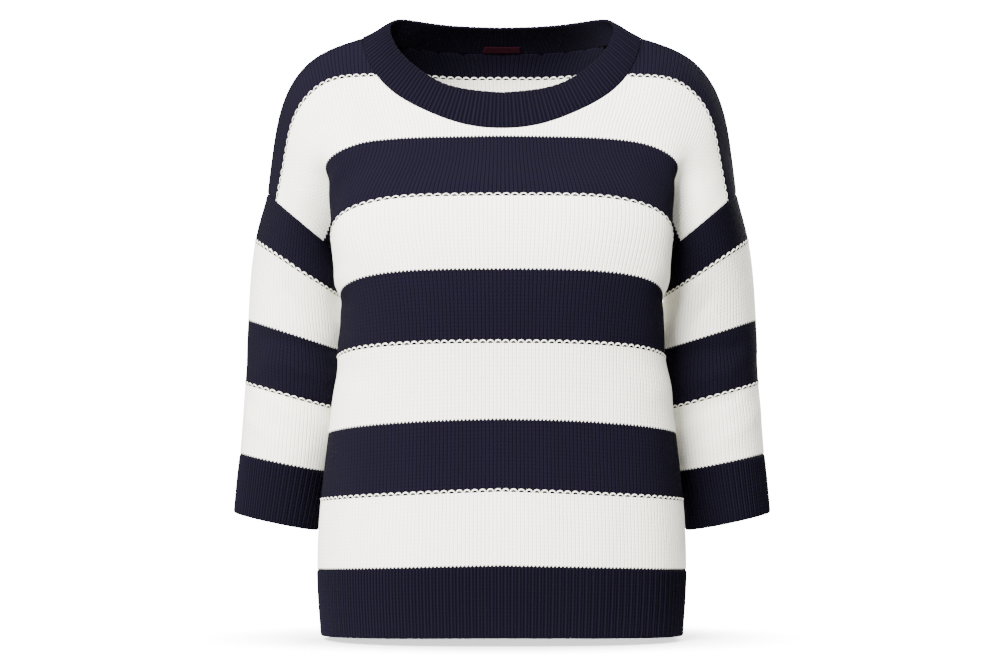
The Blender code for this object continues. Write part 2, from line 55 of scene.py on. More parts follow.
# Cloth
WALL = 2.4
ARMPIT_WALL = 1.2
ARMPIT_REACH = 24.0
HALF_GAP = 0.15
EDGE_WIDTH = 2.6
EDGE_DROP = 0.7
EDGE_STEPS = (0.0, 0.4, 1.0, 1.8, 2.8)

# Courses: heights in the flat knitted panel above the hem seam, in millimetres
STRIPE = 72.0
COURSES_PER_STRIPE = 19.0
ARMPIT_COURSE = 5 * STRIPE
SHOULDER_COURSE = 550.0
NECK_FRONT_COURSE = 442.0
NECK_BACK_COURSE = 538.0
HEM_RIB = 70.0

# Wales: columns of stitches from the middle of a panel to its side, and round a sleeve
BODY_WALES = 71.0
SHOULDER_WALES = 84.0
SLEEVE_TOP_WALES = 90.0
SLEEVE_CUFF_WALES = 76.0

# Ribs, and the columns that each has
HEM_RIBS = 82
CUFF_RIBS = 48
NECK_RIBS = 88
RIB_COLUMNS = 8
RIB_HEIGHT = 0.85

# Body: a ring is widest at y_side, and the side seam runs at one depth
SIDE_SEAM_Y = 24.0
FRONT_SQUARENESS = 2.45
BACK_SQUARENESS = 1.9
FRONT_NECK_SQUARENESS = 2.15
BACK_NECK_SQUARENESS = 2.6
COLUMNS = (0.0, 0.22, 0.42, 0.56, 0.70, 0.85, 1.0)
NECK_COLUMN = 0.42
HALF_PANEL = 250.0

# Armhole seam: an ellipse in a tilted plane
ARMHOLE_CENTRE = (199.2, 23.0, -186.0)
ARMHOLE_TO_TIP = (36.2, -8.0, 30.0)
ARMHOLE_HALF_DEPTH = 60.0
ARMPIT_SLEEVE_SHIFT = (1.6, 0.0, -0.8)

# Neckband: its free edge's outline, and where it passes the shoulder, in degrees from the front
NECK_HALF_WIDTH = 112.0
NECK_Y_FRONT = -42.0
NECK_Y_BACK = 56.0
NECK_EDGE_ANGLES = (0, 33, 47, 66, 80, 92, 108, 125, 150, 180)
NECK_EDGE_HEIGHTS = (-57, -46, -33, -13, 2, 11.5, 20, 21, 17.5, 15.6)
NECK_SHOULDER_ANGLE = 97.0
NECKBAND_BULGE = 2.4
NECK_SOFTNESS = 16.0

SLEEVE_LENGTH = 240.0
CUFF_LENGTH = 60.0


class Face(Enum):
    """The two faces of the body."""

    FRONT = "front"
    BACK = "back"


class Side(Enum):
    """The wearer's two sides, with the sign of X on each."""

    LEFT = 1.0
    RIGHT = -1.0


@dataclass(frozen=True)
class Ring:
    """A body section below the armpit: sizes in millimetres at one course of the flat panel."""

    course: float
    half_width: float
    y_front: float
    y_side: float
    y_back: float
    z_front: float
    z_side: float
    z_back: float
    arch: float


@dataclass(frozen=True)
class YokeRow:
    """A course above the armpit: its points from the middle out, and where it meets the armhole."""

    course: float
    points: tuple[tuple[float, float, float], ...]
    armhole_angle: float


@dataclass(frozen=True)
class Section:
    """A section of the arm: distance from the armhole, centre, half sizes and tilt in degrees."""

    along: float
    centre: tuple[float, float, float]
    half_width: float
    half_depth: float
    tilt: float


@dataclass(frozen=True)
class Fold:
    """A soft crease between two places of the flat cloth, in millimetres. A trough has a negative rise."""

    across: float
    along: float
    to_across: float
    to_along: float
    width: float
    rise: float


RINGS = (
    Ring(-HEM_RIB, 180.0, -109, -8, 112, -592.0, -598.0, -594.0, 1.5),
    Ring(0 * STRIPE, 184.0, -112, -8, 116, -521.8, -533.0, -526.0, 1.1),
    Ring(1 * STRIPE, 180.0, -109, -12, 114, -449.3, -466.0, -457.0, 1.0),
    Ring(2 * STRIPE, 172.0, -108, -20, 108, -379.8, -403.0, -391.0, 1.4),
    Ring(3 * STRIPE, 163.0, -113, -30, 104, -305.3, -333.0, -320.0, 2.0),
    Ring(4 * STRIPE, 160.5, -119, -46, 110, -234.4, -293.0, -252.0, 2.6),
    Ring(5 * STRIPE, 168.0, -108, -60, 121, -162.3, -250.0, -180.0, 2.7),
)
SHOULDER_LINE = ((140, 2, 0), (186, 5, -18.5), (215.5, 7, -54), (229, 9, -104))
YOKE = {
    Face.FRONT: (
        YokeRow(6 * STRIPE, ((0, -74, -103.3), (58, -73, -104), (110, -69, -106), (147, -63, -112.5),
                             (173, -54, -131), (166, -27, -163)), 128),
        YokeRow(6.5 * STRIPE, ((0, -56, -70), (64, -56, -70.5), (122, -52, -75.5), (158, -50, -84),
                               (187, -44, -107), (196, -40, -147)), 86),
        YokeRow(7 * STRIPE, ((0, -36, -38), (70, -36, -38.5), (133, -31, -41.5), (173, -28, -47),
                             (203, -25, -76), (215, -24, -121)), 48),
        YokeRow(SHOULDER_COURSE, ((0, -6, 6), (76, -4, 6), *SHOULDER_LINE), 0),
    ),
    Face.BACK: (
        YokeRow(6 * STRIPE, ((0, 122, -104), (58, 120, -104), (112, 111, -105), (146, 101, -115),
                             (167, 91, -138), (169, 80, -170)), 128),
        YokeRow(6.5 * STRIPE, ((0, 119, -69), (66, 113, -68), (125, 87, -66), (161, 75, -77),
                               (191, 74, -103), (201, 77, -145)), 86),
        YokeRow(7 * STRIPE, ((0, 108, -34), (72, 96, -33), (134, 50, -29), (177, 43, -37),
                             (208, 46, -69), (220, 52, -117)), 48),
        YokeRow(SHOULDER_COURSE, ((0, 89, 0), (88, 66, 2), *SHOULDER_LINE), 0),
    ),
}
SECTIONS = (
    Section(41.0, (205.5, 36, -232.0), 51.0, 57.0, 33),
    Section(108.0, (207.0, 46, -298.5), 51.5, 54.0, 17.5),
    Section(172.0, (211.5, 51, -360.4), 51.5, 51.0, 15.5),
    Section(SLEEVE_LENGTH, (220.4, 54, -427.0), 47.3, 47.0, 11.5),
    Section(SLEEVE_LENGTH + CUFF_LENGTH, (229.5, 55, -486.4), 43.6, 44.0, 12),
)

# Creases of the body, across from the middle and up from the hem seam
BODY_FOLDS = {
    Face.FRONT: (
        Fold(-232, 352, -150, 296, 13, 2.2), Fold(-228, 330, -158, 268, 10, -1.7),
        Fold(234, 346, 140, 300, 15, 2.0), Fold(230, 322, 160, 276, 11, -1.9),
        Fold(-236, 212, -128, 190, 15, -1.5), Fold(-232, 238, -150, 226, 12, 1.0),
        Fold(236, 226, 116, 206, 17, -1.6), Fold(232, 196, 150, 178, 13, 1.1),
        Fold(-96, -60, -74, 140, 24, 1.3), Fold(54, -60, 78, 168, 26, -1.2),
        Fold(158, -60, 138, 120, 20, 1.5), Fold(-178, -60, -166, 110, 19, -1.3),
        Fold(-16, -60, -10, 60, 22, -0.9), Fold(108, -60, 112, 40, 14, -0.9),
        Fold(-128, 424, -176, 398, 12, 1.3), Fold(134, 420, 180, 402, 11, 1.2),
        Fold(-70, 398, 60, 404, 20, -0.9), Fold(-206, 470, -190, 420, 13, -1.2),
        Fold(210, 478, 192, 418, 14, -1.3),
    ),
    Face.BACK: (
        Fold(-236, 356, -140, 330, 15, 2.2), Fold(236, 350, 150, 318, 13, 2.3),
        Fold(-230, 330, -120, 290, 12, -1.9), Fold(228, 318, 130, 286, 11, -1.8),
        Fold(-190, 214, 40, 196, 17, -2.0), Fold(196, 236, -30, 226, 15, -1.6),
        Fold(-150, 188, 120, 168, 14, 1.5), Fold(-60, -60, -40, 130, 24, 1.6),
        Fold(96, -60, 70, 150, 22, -1.5), Fold(-160, -60, -150, 110, 19, -1.4),
        Fold(170, -60, 150, 120, 18, 1.5), Fold(-110, 430, -180, 400, 14, 1.5),
        Fold(118, 436, 186, 396, 13, 1.5), Fold(-50, 470, 60, 474, 15, -1.2),
        Fold(-206, 474, -186, 420, 13, -1.5), Fold(200, 466, 188, 416, 13, -1.3),
    ),
}

# Creases of the sleeves, across from the outer line round the front, and down from the armhole
SLEEVE_FOLDS = {
    Side.LEFT: (
        Fold(52, 128, 150, 112, 9, -2.2), Fold(60, 150, 154, 146, 9, 1.6),
        Fold(58, 176, 150, 186, 9, -1.9), Fold(96, 48, 150, 96, 10, 1.6),
        Fold(84, 72, 134, 118, 8, -1.4), Fold(20, 196, 92, 222, 12, 1.2),
        Fold(-46, 134, -150, 120, 10, -2.4), Fold(-52, 158, -150, 152, 10, 1.9),
        Fold(-60, 86, -148, 78, 9, -1.6), Fold(-40, 200, -128, 212, 10, -1.4),
        Fold(-8, 40, 10, 130, 20, 1.2), Fold(6, 150, -6, 238, 18, -0.9),
    ),
    Side.RIGHT: (
        Fold(46, 120, 146, 108, 9, -2.0), Fold(54, 142, 152, 140, 9, 1.7),
        Fold(50, 168, 150, 178, 10, -1.8), Fold(90, 42, 148, 88, 10, 1.7),
        Fold(76, 66, 128, 108, 8, -1.3), Fold(30, 204, 104, 226, 11, 1.2),
        Fold(-50, 128, -150, 118, 10, -2.2), Fold(-58, 152, -150, 148, 10, 1.7),
        Fold(-64, 92, -146, 82, 9, -1.7), Fold(-34, 206, -120, 218, 10, -1.3),
        Fold(8, 36, -8, 120, 20, 1.1), Fold(-6, 160, 8, 238, 18, -1.0),
    ),
}


def unit(vectors: Array) -> Array:
    """Vectors divided by their own lengths."""
    return vectors / np.maximum(np.linalg.norm(vectors, axis=-1, keepdims=True), 1e-12)


def power(base: Array, exponent: float | Array) -> Array:
    """The base, kept at or above nought, to a power."""
    return np.maximum(base, 0.0) ** exponent


def ease(share: Array) -> Array:
    """Three times the square less twice the cube, from 0 to 1."""
    share = np.clip(share, 0, 1)
    return share * share * (3 - 2 * share)


def mirrored(points: Array) -> Array:
    """Points on the other side of the middle plane."""
    return points * np.array([-1.0, 1.0, 1.0])


def lengths(line: Array) -> Array:
    """Distance along a line of points up to each point."""
    return np.concatenate([[0], np.cumsum(np.linalg.norm(np.diff(line, axis=0), axis=1))])


def spread(line: Array, values: Array, shares: Array) -> Array:
    """Values carried by a line's points, read at shares of its length."""
    length = lengths(line)
    return np.stack([np.interp(shares * length[-1], length, axis) for axis in values.T], axis=-1)


def spline_weights(knots: Array, places: Array) -> Array:
    """Rows of weights that turn values at the knots into a natural cubic spline's values.

    Args:
        knots: rising places of the known values.
        places: places where the spline is wanted.

    Returns:
        One row for each place, one column for each knot.
    """
    knots = np.asarray(knots, float)
    places = np.asarray(places, float).ravel()
    steps = np.diff(knots)
    count = len(knots)
    bend = np.eye(count)
    slope = np.zeros((count, count))
    for k in range(1, count - 1):
        bend[k, k - 1:k + 2] = steps[k - 1], 2 * (steps[k - 1] + steps[k]), steps[k]
        slope[k, k - 1:k + 2] = 6 / steps[k - 1], -6 / steps[k - 1] - 6 / steps[k], 6 / steps[k]
    second = np.linalg.solve(bend, slope)
    span = np.clip(np.searchsorted(knots, places) - 1, 0, count - 2)
    width = steps[span][:, None]
    after = (places - knots[span])[:, None] / width
    before = 1 - after
    knot = np.eye(count)
    cubic = (before ** 3 - before) * second[span] + (after ** 3 - after) * second[span + 1]
    return before * knot[span] + after * knot[span + 1] + cubic * width ** 2 / 6


def grid_normals(grid: Array, closed: bool = False) -> Array:
    """Directions out of a grid whose columns go right and rows go up, seen from outside.

    Args:
        grid: rows by columns of points.
        closed: whether the last column stands on the first.

    Returns:
        The slope across crossed with the slope up, made unit length.
    """
    if closed:
        wide = np.concatenate([grid[:, -2:-1], grid, grid[:, 1:2]], axis=1)
        across = np.gradient(wide, axis=1)[:, 1:-1]
    else:
        across = np.gradient(grid, axis=1)
    return unit(np.cross(across, np.gradient(grid, axis=0)))


def drape(folds: tuple[Fold, ...], across: Array, along: Array, turn: float = 0.0) -> Array:
    """How far the creases lift or sink the cloth.

    Each crease is its rise times e to the minus square of the distance to its line over its
    width. Where the cloth is not a tube, two slow waves are added, so that no stretch of it is quite even.

    Args:
        folds: the creases.
        across: places across the cloth in millimetres.
        along: places along the cloth in millimetres.
        turn: the length all round where the cloth is a tube, or 0.

    Returns:
        The lift at each place in millimetres.
    """
    lift = 0.35 * np.sin(across / 37.0 + along / 61.0) + 0.3 * np.sin(along / 43.0 - across / 71.0 + 1.3)
    if turn:
        lift = np.zeros_like(lift)
    for fold in folds:
        right = across - fold.across
        if turn:
            right = (right + turn / 2) % turn - turn / 2
        up = along - fold.along
        run, climb = fold.to_across - fold.across, fold.to_along - fold.along
        share = np.clip((right * run + up * climb) / (run * run + climb * climb), 0, 1)
        away = (right - share * run) ** 2 + (up - share * climb) ** 2
        lift = lift + fold.rise * np.exp(-away / fold.width ** 2)
    return lift


def edge_drop(distance: Array, width: float = EDGE_WIDTH, drop: float = EDGE_DROP) -> Array:
    """How far a cut edge rolls in: the square of what is left of the width, times the drop."""
    return drop * np.clip(1 - distance / width, 0, 1) ** 2


def armhole(angles: Array, face: Face = Face.FRONT) -> Array:
    """Points on the armhole seam, by angle in radians from the shoulder tip."""
    forward = np.array([0.0, -1.0 if face is Face.FRONT else 1.0, 0.0])
    cos, sin = np.cos(angles)[..., None], np.sin(angles)[..., None]
    return np.array(ARMHOLE_CENTRE) + cos * np.array(ARMHOLE_TO_TIP) + sin * ARMHOLE_HALF_DEPTH * forward


def near_armpit(points: Array) -> Array:
    """1 at either armpit, falling to 0 away from it."""
    side = np.stack([np.abs(points[..., 0]), points[..., 1], points[..., 2]], axis=-1)
    away = np.linalg.norm(side - armhole(np.array(np.pi)), axis=-1, keepdims=True)
    return np.exp(-(away / ARMPIT_REACH) ** 2)


def wall_at(points: Array) -> Array:
    """Thickness of the cloth, pressed thinner in the armpit's fold."""
    return WALL + (ARMPIT_WALL - WALL) * near_armpit(points)


def armhole_angle(course: Array) -> Array:
    """How far round the armhole a course ends, in radians from the shoulder tip."""
    knots = [ARMPIT_COURSE] + [row.course for row in YOKE[Face.FRONT]]
    angles = [180] + [row.armhole_angle for row in YOKE[Face.FRONT]]
    return np.radians(spline_weights(knots, course) @ np.array(angles))


def seam_turn(ring: Ring) -> float:
    """The angle at which the side seam crosses a body ring."""
    share = (SIDE_SEAM_Y - ring.y_side) / (ring.y_back - ring.y_side)
    return float(np.pi - np.arccos(share ** (BACK_SQUARENESS / 2)))


def ring_points(ring: Ring, angles: Array) -> Array:
    """Points on a body ring: two half superellipses, from the front middle to the back middle."""
    front = angles <= np.pi / 2
    squareness = np.where(front, FRONT_SQUARENESS, BACK_SQUARENESS)
    across = power(np.sin(angles), 2 / squareness)
    along = power(np.abs(np.cos(angles)), 2 / squareness)
    reach = np.where(front, ring.y_front, ring.y_back) - ring.y_side
    seam = seam_turn(ring)
    to_seam = angles <= seam
    share = np.where(to_seam, angles / seam, (np.pi - angles) / (np.pi - seam))
    middle = np.where(to_seam, ring.z_front, ring.z_back)
    z = middle + (ring.z_side - middle) * power(share, ring.arch)
    return np.stack([ring.half_width * across, ring.y_side + reach * along, z], axis=-1)


def body_wales(course: Array) -> Array:
    """Wales from the middle of a panel to its side at a course."""
    rise = np.clip((course - ARMPIT_COURSE) / (SHOULDER_COURSE - ARMPIT_COURSE), 0, 1)
    return BODY_WALES + (SHOULDER_WALES - BODY_WALES) * rise


def sleeve_wales(along: Array) -> Array:
    """Wales all round a sleeve at a distance from the armhole."""
    return SLEEVE_TOP_WALES + (SLEEVE_CUFF_WALES - SLEEVE_TOP_WALES) * np.clip(along / SLEEVE_LENGTH, 0, 1)


def sleeve_course(along: Array) -> Array:
    """Stitch courses above the cuff at a distance from the armhole, a whole stripe between borders."""
    borders = (0.0, 41.0, 108.0, 172.0, SLEEVE_LENGTH)
    counts = np.array([3.6, 3.0, 2.0, 1.0, 0.0]) * COURSES_PER_STRIPE
    return np.interp(along, borders, counts)


class PanelForm:
    """Half of the front or back body as a smooth surface over column (0 to 1) and course."""

    def __init__(self, face: Face) -> None:
        """Sets out the net of points that the surface is a spline through."""
        self.face = face
        self.squareness = FRONT_NECK_SQUARENESS if face is Face.FRONT else BACK_NECK_SQUARENESS
        rows = [self._stations(ring) for ring in RINGS]
        rows[-1][-1] = armhole(np.array(np.pi), face)
        for row in YOKE[face]:
            rows.append(np.array([*row.points, armhole(np.radians(row.armhole_angle), face)]))
        self.courses = [ring.course for ring in RINGS] + [row.course for row in YOKE[face]]
        self.net = np.array(rows)

    def _stations(self, ring: Ring) -> Array:
        """The points of the columns on a body ring, spaced by their share of its length."""
        ends = (0.0 if self.face is Face.FRONT else np.pi, seam_turn(ring))
        angles = np.linspace(*ends, 181)
        length = lengths(ring_points(ring, angles))
        return ring_points(ring, np.interp(np.array(COLUMNS) * length[-1], length, angles))

    def _raw(self, column: Array, course: Array) -> Array:
        """The spline surface before its edges are drawn to the seams."""
        return np.einsum("ir,ic,rcx->ix", spline_weights(self.courses, course),
                         spline_weights(COLUMNS, column), self.net)

    def points(self, column: Array, course: Array) -> Array:
        """Surface points, drawn to the side seam, the armhole and the shoulder seam at the edges.

        Args:
            column: share of the way from the middle to the side.
            course: height in the flat panel, of the same shape.

        Returns:
            Points in millimetres, with one more axis.
        """
        shape = np.shape(column)
        column, course = np.ravel(column), np.ravel(course)
        seam = np.array([ring_points(ring, np.array(seam_turn(ring))) for ring in RINGS])
        seam[-1] = armhole(np.array(np.pi))
        below = spline_weights([ring.course for ring in RINGS], course) @ seam
        above = armhole(armhole_angle(np.maximum(course, ARMPIT_COURSE)), self.face)
        edge = np.where((course < ARMPIT_COURSE)[:, None], below, above)
        pull = edge - self._raw(np.ones_like(column), course)
        flat = self._raw(column, course)
        flat = flat + ease((column - COLUMNS[-2]) / (1 - COLUMNS[-2]))[:, None] * pull
        over = np.maximum(column, NECK_COLUMN)
        line = spline_weights(COLUMNS[2:], over) @ self.net[-1, 2:]
        lift = line - self._raw(over, np.full_like(course, SHOULDER_COURSE))
        rise = ease((course - 7 * STRIPE) / (SHOULDER_COURSE - 7 * STRIPE))
        flat = flat + np.where(column >= NECK_COLUMN, rise, 0)[:, None] * lift
        return flat.reshape(shape + (3,))

    def neckline(self, column: Array) -> Array:
        """Course of the neckline: a superellipse inside the neck column, the shoulder outside it."""
        low = NECK_FRONT_COURSE if self.face is Face.FRONT else NECK_BACK_COURSE
        inside = np.clip(column / NECK_COLUMN, 0, 1)
        share = power(1 - inside ** self.squareness, 1 / self.squareness)
        return SHOULDER_COURSE - (SHOULDER_COURSE - low) * share

    def draped(self, signed: Array, course: Array) -> tuple[Array, Array]:
        """The full-width surface with its creases, and the directions out of it.

        Args:
            signed: column with the sign of the side it lies on.
            course: height in the flat panel.

        Returns:
            Points and unit directions, for columns that go right seen from outside.
        """
        sides = np.where(signed < 0, -1.0, 1.0)[..., None] * np.array([1.0, 0, 0]) + np.array([0, 1.0, 1.0])
        points = self.points(np.abs(signed), course) * sides
        normals = grid_normals(points)
        column = np.abs(signed)
        inside = ease((1 - column) * HALF_PANEL / 26)
        top = np.where(column < NECK_COLUMN, self.neckline(column), SHOULDER_COURSE)
        inside = inside * ease((top - course) / 22)
        lift = drape(BODY_FOLDS[self.face], signed * HALF_PANEL, course) * inside
        points = points + lift[..., None] * normals
        return points, grid_normals(points)


class SleeveForm:
    """The wearer's left sleeve as a smooth tube over angle and distance from the armhole."""

    def __init__(self) -> None:
        """Gathers the sections: centre, the way to the outer tip, and half of the depth."""
        rows = [np.concatenate([ARMHOLE_CENTRE, ARMHOLE_TO_TIP, [ARMHOLE_HALF_DEPTH]])]
        for cut in SECTIONS:
            tilt = np.radians(cut.tilt)
            to_tip = cut.half_width * np.array([np.cos(tilt), 0, np.sin(tilt)])
            rows.append(np.concatenate([cut.centre, to_tip, [cut.half_depth]]))
        self.along = [0.0] + [cut.along for cut in SECTIONS]
        self.values = np.array(rows)

    def points(self, angle: Array, along: Array) -> Array:
        """Centre plus cosine times the way to the tip plus sine times the half depth, forward."""
        value = spline_weights(self.along, along) @ self.values
        cos, sin = np.cos(np.ravel(angle))[:, None], np.sin(np.ravel(angle))[:, None]
        forward = np.array([0.0, -1.0, 0.0])
        flat = value[:, :3] + cos * value[:, 3:6] + sin * value[:, 6:] * forward
        return flat.reshape(np.shape(angle) + (3,))

    def draped(self, angle: Array, along: Array, side: Side) -> tuple[Array, Array]:
        """The tube with its creases, and the directions out of it, on either side.

        Args:
            angle: a grid whose last column is a whole turn on from its first.
            along: distance from the armhole.
            side: which sleeve.

        Returns:
            Points and unit directions, both mirrored on the right side.
        """
        points = self.points(angle, along)
        normals = grid_normals(points, closed=True)
        radius = 52.0
        inside = ease(along / 22)
        turned = (angle + np.pi) % (2 * np.pi) - np.pi
        lift = drape(SLEEVE_FOLDS[side], turned * radius, along, turn=2 * np.pi * radius) * inside
        points = points + lift[..., None] * normals
        normals = grid_normals(points, closed=True)
        if side is Side.LEFT:
            return points, normals
        return mirrored(points)[:, ::-1], mirrored(normals)[:, ::-1]


class NeckForm:
    """Half of the neckband, over share of its length from the front and rise from seam to edge."""

    def __init__(self, panels: dict[Face, PanelForm], steps: int = 240) -> None:
        """Joins the two panels' necklines into one seam, and rounds its turn at the shoulder."""
        quarter = np.linspace(0, np.pi / 2, 60)
        lines, outs = [], []
        for face, panel in panels.items():
            column = NECK_COLUMN * np.sin(quarter) ** (2 / panel.squareness)
            course = panel.neckline(column)
            near = np.stack([course - 3.0, course])
            wide = panel.points(np.stack([column, column]), near)
            across = np.gradient(wide, axis=1)
            out = unit(np.cross(across, wide[1:] - wide[:1]))[1] * (1 if face is Face.FRONT else -1)
            lines.append(wide[1] if face is Face.FRONT else wide[1][::-1])
            outs.append(out if face is Face.FRONT else out[::-1])
        seam = np.concatenate([lines[0], lines[1][1:]])
        out = np.concatenate([outs[0], outs[1][1:]])
        self.seam, self.length = seam, lengths(seam)[-1]
        self.corner = lengths(seam)[len(quarter) - 1] / self.length
        shares = np.linspace(0, 1, steps + 1)
        line, out = spread(seam, seam, shares), unit(spread(seam, out, shares))
        weights = np.exp(-((shares[:, None] - shares) * self.length / NECK_SOFTNESS) ** 2)
        weights = weights / weights.sum(axis=1, keepdims=True)
        near = np.exp(-((shares - self.corner) * self.length / (3 * NECK_SOFTNESS)) ** 2)[:, None]
        self.line = line + near * (weights @ line - line)
        self.out = unit(out + near * (weights @ out - out))

    def edge(self, angles: Array) -> Array:
        """The free edge, by angle in degrees: an ellipse in plan with its own height."""
        turn = np.radians(angles)
        middle, reach = (NECK_Y_BACK + NECK_Y_FRONT) / 2, (NECK_Y_BACK - NECK_Y_FRONT) / 2
        z = spline_weights(NECK_EDGE_ANGLES, angles) @ np.array(NECK_EDGE_HEIGHTS)
        return np.stack([NECK_HALF_WIDTH * np.sin(turn), middle - reach * np.cos(turn), z], axis=-1)

    def grid(self, shares: Array, rise: Array) -> tuple[Array, Array]:
        """Points from the seam to the free edge, bulging softly between them, and directions out.

        Args:
            shares: places along the half band, from the front middle to the back middle.
            rise: places from the seam (0) to the free edge (1).

        Returns:
            Points and unit directions, rows by shares.
        """
        low = spread(self.seam, self.seam, shares)
        round_low = spread(self.line, self.line, shares)
        parts = ((0, NECK_SHOULDER_ANGLE), (NECK_SHOULDER_ANGLE, 180))
        edges = [self.edge(np.linspace(*part, 60)) for part in parts]
        first = spread(edges[0], edges[0], np.clip(shares / self.corner, 0, 1))
        second = spread(edges[1], edges[1], np.clip((shares - self.corner) / (1 - self.corner), 0, 1))
        high = np.where((shares <= self.corner)[:, None], first, second)
        level = rise[:, None, None]
        low = low + (round_low - low) * ease(2 * level)
        bulge = NECKBAND_BULGE * 4 * level * (1 - level) * spread(self.line, self.out, shares)
        grid = low * (1 - level) + high * level + bulge
        normals = grid_normals(grid)
        normals[:, [0, -1], 0] = 0
        return grid, unit(normals)


@dataclass
class Wall:
    """A closed wall of cloth between an outer grid and an inner one, carrying its stitch numbers.

    Rows go up and columns go to the right, seen from outside. The inner grid keeps every few
    rows and columns of the outer one. A closed wall's last column stands on its first.
    """

    name: str
    outer: Array
    inner: Array
    stitches: Array
    closed: bool
    row_step: int = 4
    column_step: int = 4

    def _numbers(self, rows: int, columns: int, start: int) -> tuple[Array, Array]:
        """Corner numbers of a grid, and the vertex that each corner stands for."""
        row, column = np.meshgrid(np.arange(rows), np.arange(columns), indexing="ij")
        corners = start + row * columns + column
        kept = columns - 1 if self.closed else columns
        return corners, row * kept + column % kept

    def _quads(self, corners: Array, turned: bool) -> Array:
        """Four corner numbers of every cell, the other way round on the inner grid."""
        low, high = corners[:-1], corners[1:]
        cells = [low[:, :-1], low[:, 1:], high[:, 1:], high[:, :-1]]
        quads = np.stack(cells[::-1] if turned else cells, axis=-1)
        return quads.reshape(-1, 4)

    def _rim(self, outer: Array, inner: Array, step: int, turned: bool) -> Array:
        """Faces between a run of outer corners and the inner corners beside it."""
        spans = len(inner) - 1
        run = outer[np.arange(spans)[:, None] * step + np.arange(step + 1)]
        ends = np.stack([inner[1:], inner[:-1]], axis=-1)
        faces = np.concatenate([run, ends], axis=1)
        return faces if turned else faces[:, ::-1]

    def build(self) -> bpy.types.Object:
        """Makes the mesh, with a map named knit whose places are counted in wales and courses.

        Returns:
            The new object, smooth all over but for its rims.
        """
        inner = self.inner[::self.row_step, ::self.column_step]
        out_corner, out_vertex = self._numbers(*self.outer.shape[:2], 0)
        in_corner, in_vertex = self._numbers(*inner.shape[:2], out_corner.size)
        in_vertex = in_vertex + out_vertex.max() + 1
        groups = [self._quads(out_corner, False), self._quads(in_corner, True)]
        smooth = sum(len(group) for group in groups)
        groups.append(self._rim(out_corner[0], in_corner[0], self.column_step, False))
        groups.append(self._rim(out_corner[-1], in_corner[-1], self.column_step, True))
        if not self.closed:
            groups.append(self._rim(out_corner[:, 0], in_corner[:, 0], self.row_step, True))
            groups.append(self._rim(out_corner[:, -1], in_corner[:, -1], self.row_step, False))
        vertex = np.concatenate([out_vertex.ravel(), in_vertex.ravel()])
        place = np.concatenate([self.outer.reshape(-1, 3), inner.reshape(-1, 3)])
        points = np.zeros((vertex.max() + 1, 3))
        points[vertex[::-1]] = place[::-1]
        faces = [face for group in groups for face in vertex[group].tolist()]
        mesh = bpy.data.meshes.new(self.name)
        mesh.from_pydata((points * MM).tolist(), [], faces)
        marks = np.concatenate([self.stitches.reshape(-1, 2),
                                self.stitches[::self.row_step, ::self.column_step].reshape(-1, 2)])
        corners = np.concatenate([group.ravel() for group in groups])
        layer = mesh.uv_layers.new(name="knit")
        layer.uv.foreach_set("vector", marks[corners].astype(np.float32).ravel())
        mesh.polygons.foreach_set("use_smooth", np.arange(len(faces)) < smooth)
        mesh.update()
        obj = bpy.data.objects.new(self.name, mesh)
        bpy.context.scene.collection.objects.link(obj)
        return obj


@dataclass
class Net:
    """Short names for adding and joining nodes in one node tree."""

    tree: bpy.types.NodeTree

    def add(self, kind: str, **settings: object) -> bpy.types.Node:
        """A new node of a kind, with its own settings."""
        node = self.tree.nodes.new(kind)
        for name, value in settings.items():
            setattr(node, name, value)
        return node

    def feed(self, socket: bpy.types.NodeSocket, source: object) -> None:
        """Joins a socket to another one, or sets its value."""
        if isinstance(source, bpy.types.NodeSocket):
            self.tree.links.new(source, socket)
        else:
            socket.default_value = source

    def maths(self, operation: str, *values: object, clamp: bool = False) -> bpy.types.NodeSocket:
        """The output of a Math node."""
        node = self.add("ShaderNodeMath", operation=operation, use_clamp=clamp)
        for socket, value in zip(node.inputs, values):
            self.feed(socket, value)
        return node.outputs[0]

    def blend(self, share: object, first: object, second: object) -> bpy.types.NodeSocket:
        """A colour between two colours."""
        node = self.add("ShaderNodeMix", data_type="RGBA")
        self.feed(node.inputs["Factor"], share)
        self.feed(node.inputs[6], first)
        self.feed(node.inputs[7], second)
        return node.outputs[2]

    def smooth_step(self, value: object, low: float, high: float) -> bpy.types.NodeSocket:
        """0 below the low mark, 1 above the high one, and smooth between."""
        node = self.add("ShaderNodeMapRange", interpolation_type="SMOOTHSTEP")
        for socket, source in zip(node.inputs, (value, low, high, 0.0, 1.0)):
            self.feed(socket, source)
        return node.outputs[0]

    def noise(self, place: object, scale: float, detail: float) -> bpy.types.NodeSocket:
        """A noise texture's value."""
        node = self.add("ShaderNodeTexNoise", noise_dimensions="3D")
        self.feed(node.inputs["Vector"], place)
        node.inputs["Scale"].default_value = scale
        node.inputs["Detail"].default_value = detail
        return node.outputs[0]


def new_group(name: str, inputs: tuple[str, ...], outputs: tuple[str, ...]) -> tuple[Net, object, object]:
    """An empty node group with float sockets.

    Args:
        name: the group's name.
        inputs: names of its inputs; one named Place is a vector.
        outputs: names of its outputs.

    Returns:
        Its net, and its input and output nodes.
    """
    tree = bpy.data.node_groups.new(name, "ShaderNodeTree")
    for socket in inputs:
        kind = "NodeSocketVector" if socket == "Place" else "NodeSocketFloat"
        tree.interface.new_socket(name=socket, in_out="INPUT", socket_type=kind)
    for socket in outputs:
        tree.interface.new_socket(name=socket, in_out="OUTPUT", socket_type="NodeSocketFloat")
    net = Net(tree)
    return net, net.add("NodeGroupInput"), net.add("NodeGroupOutput")


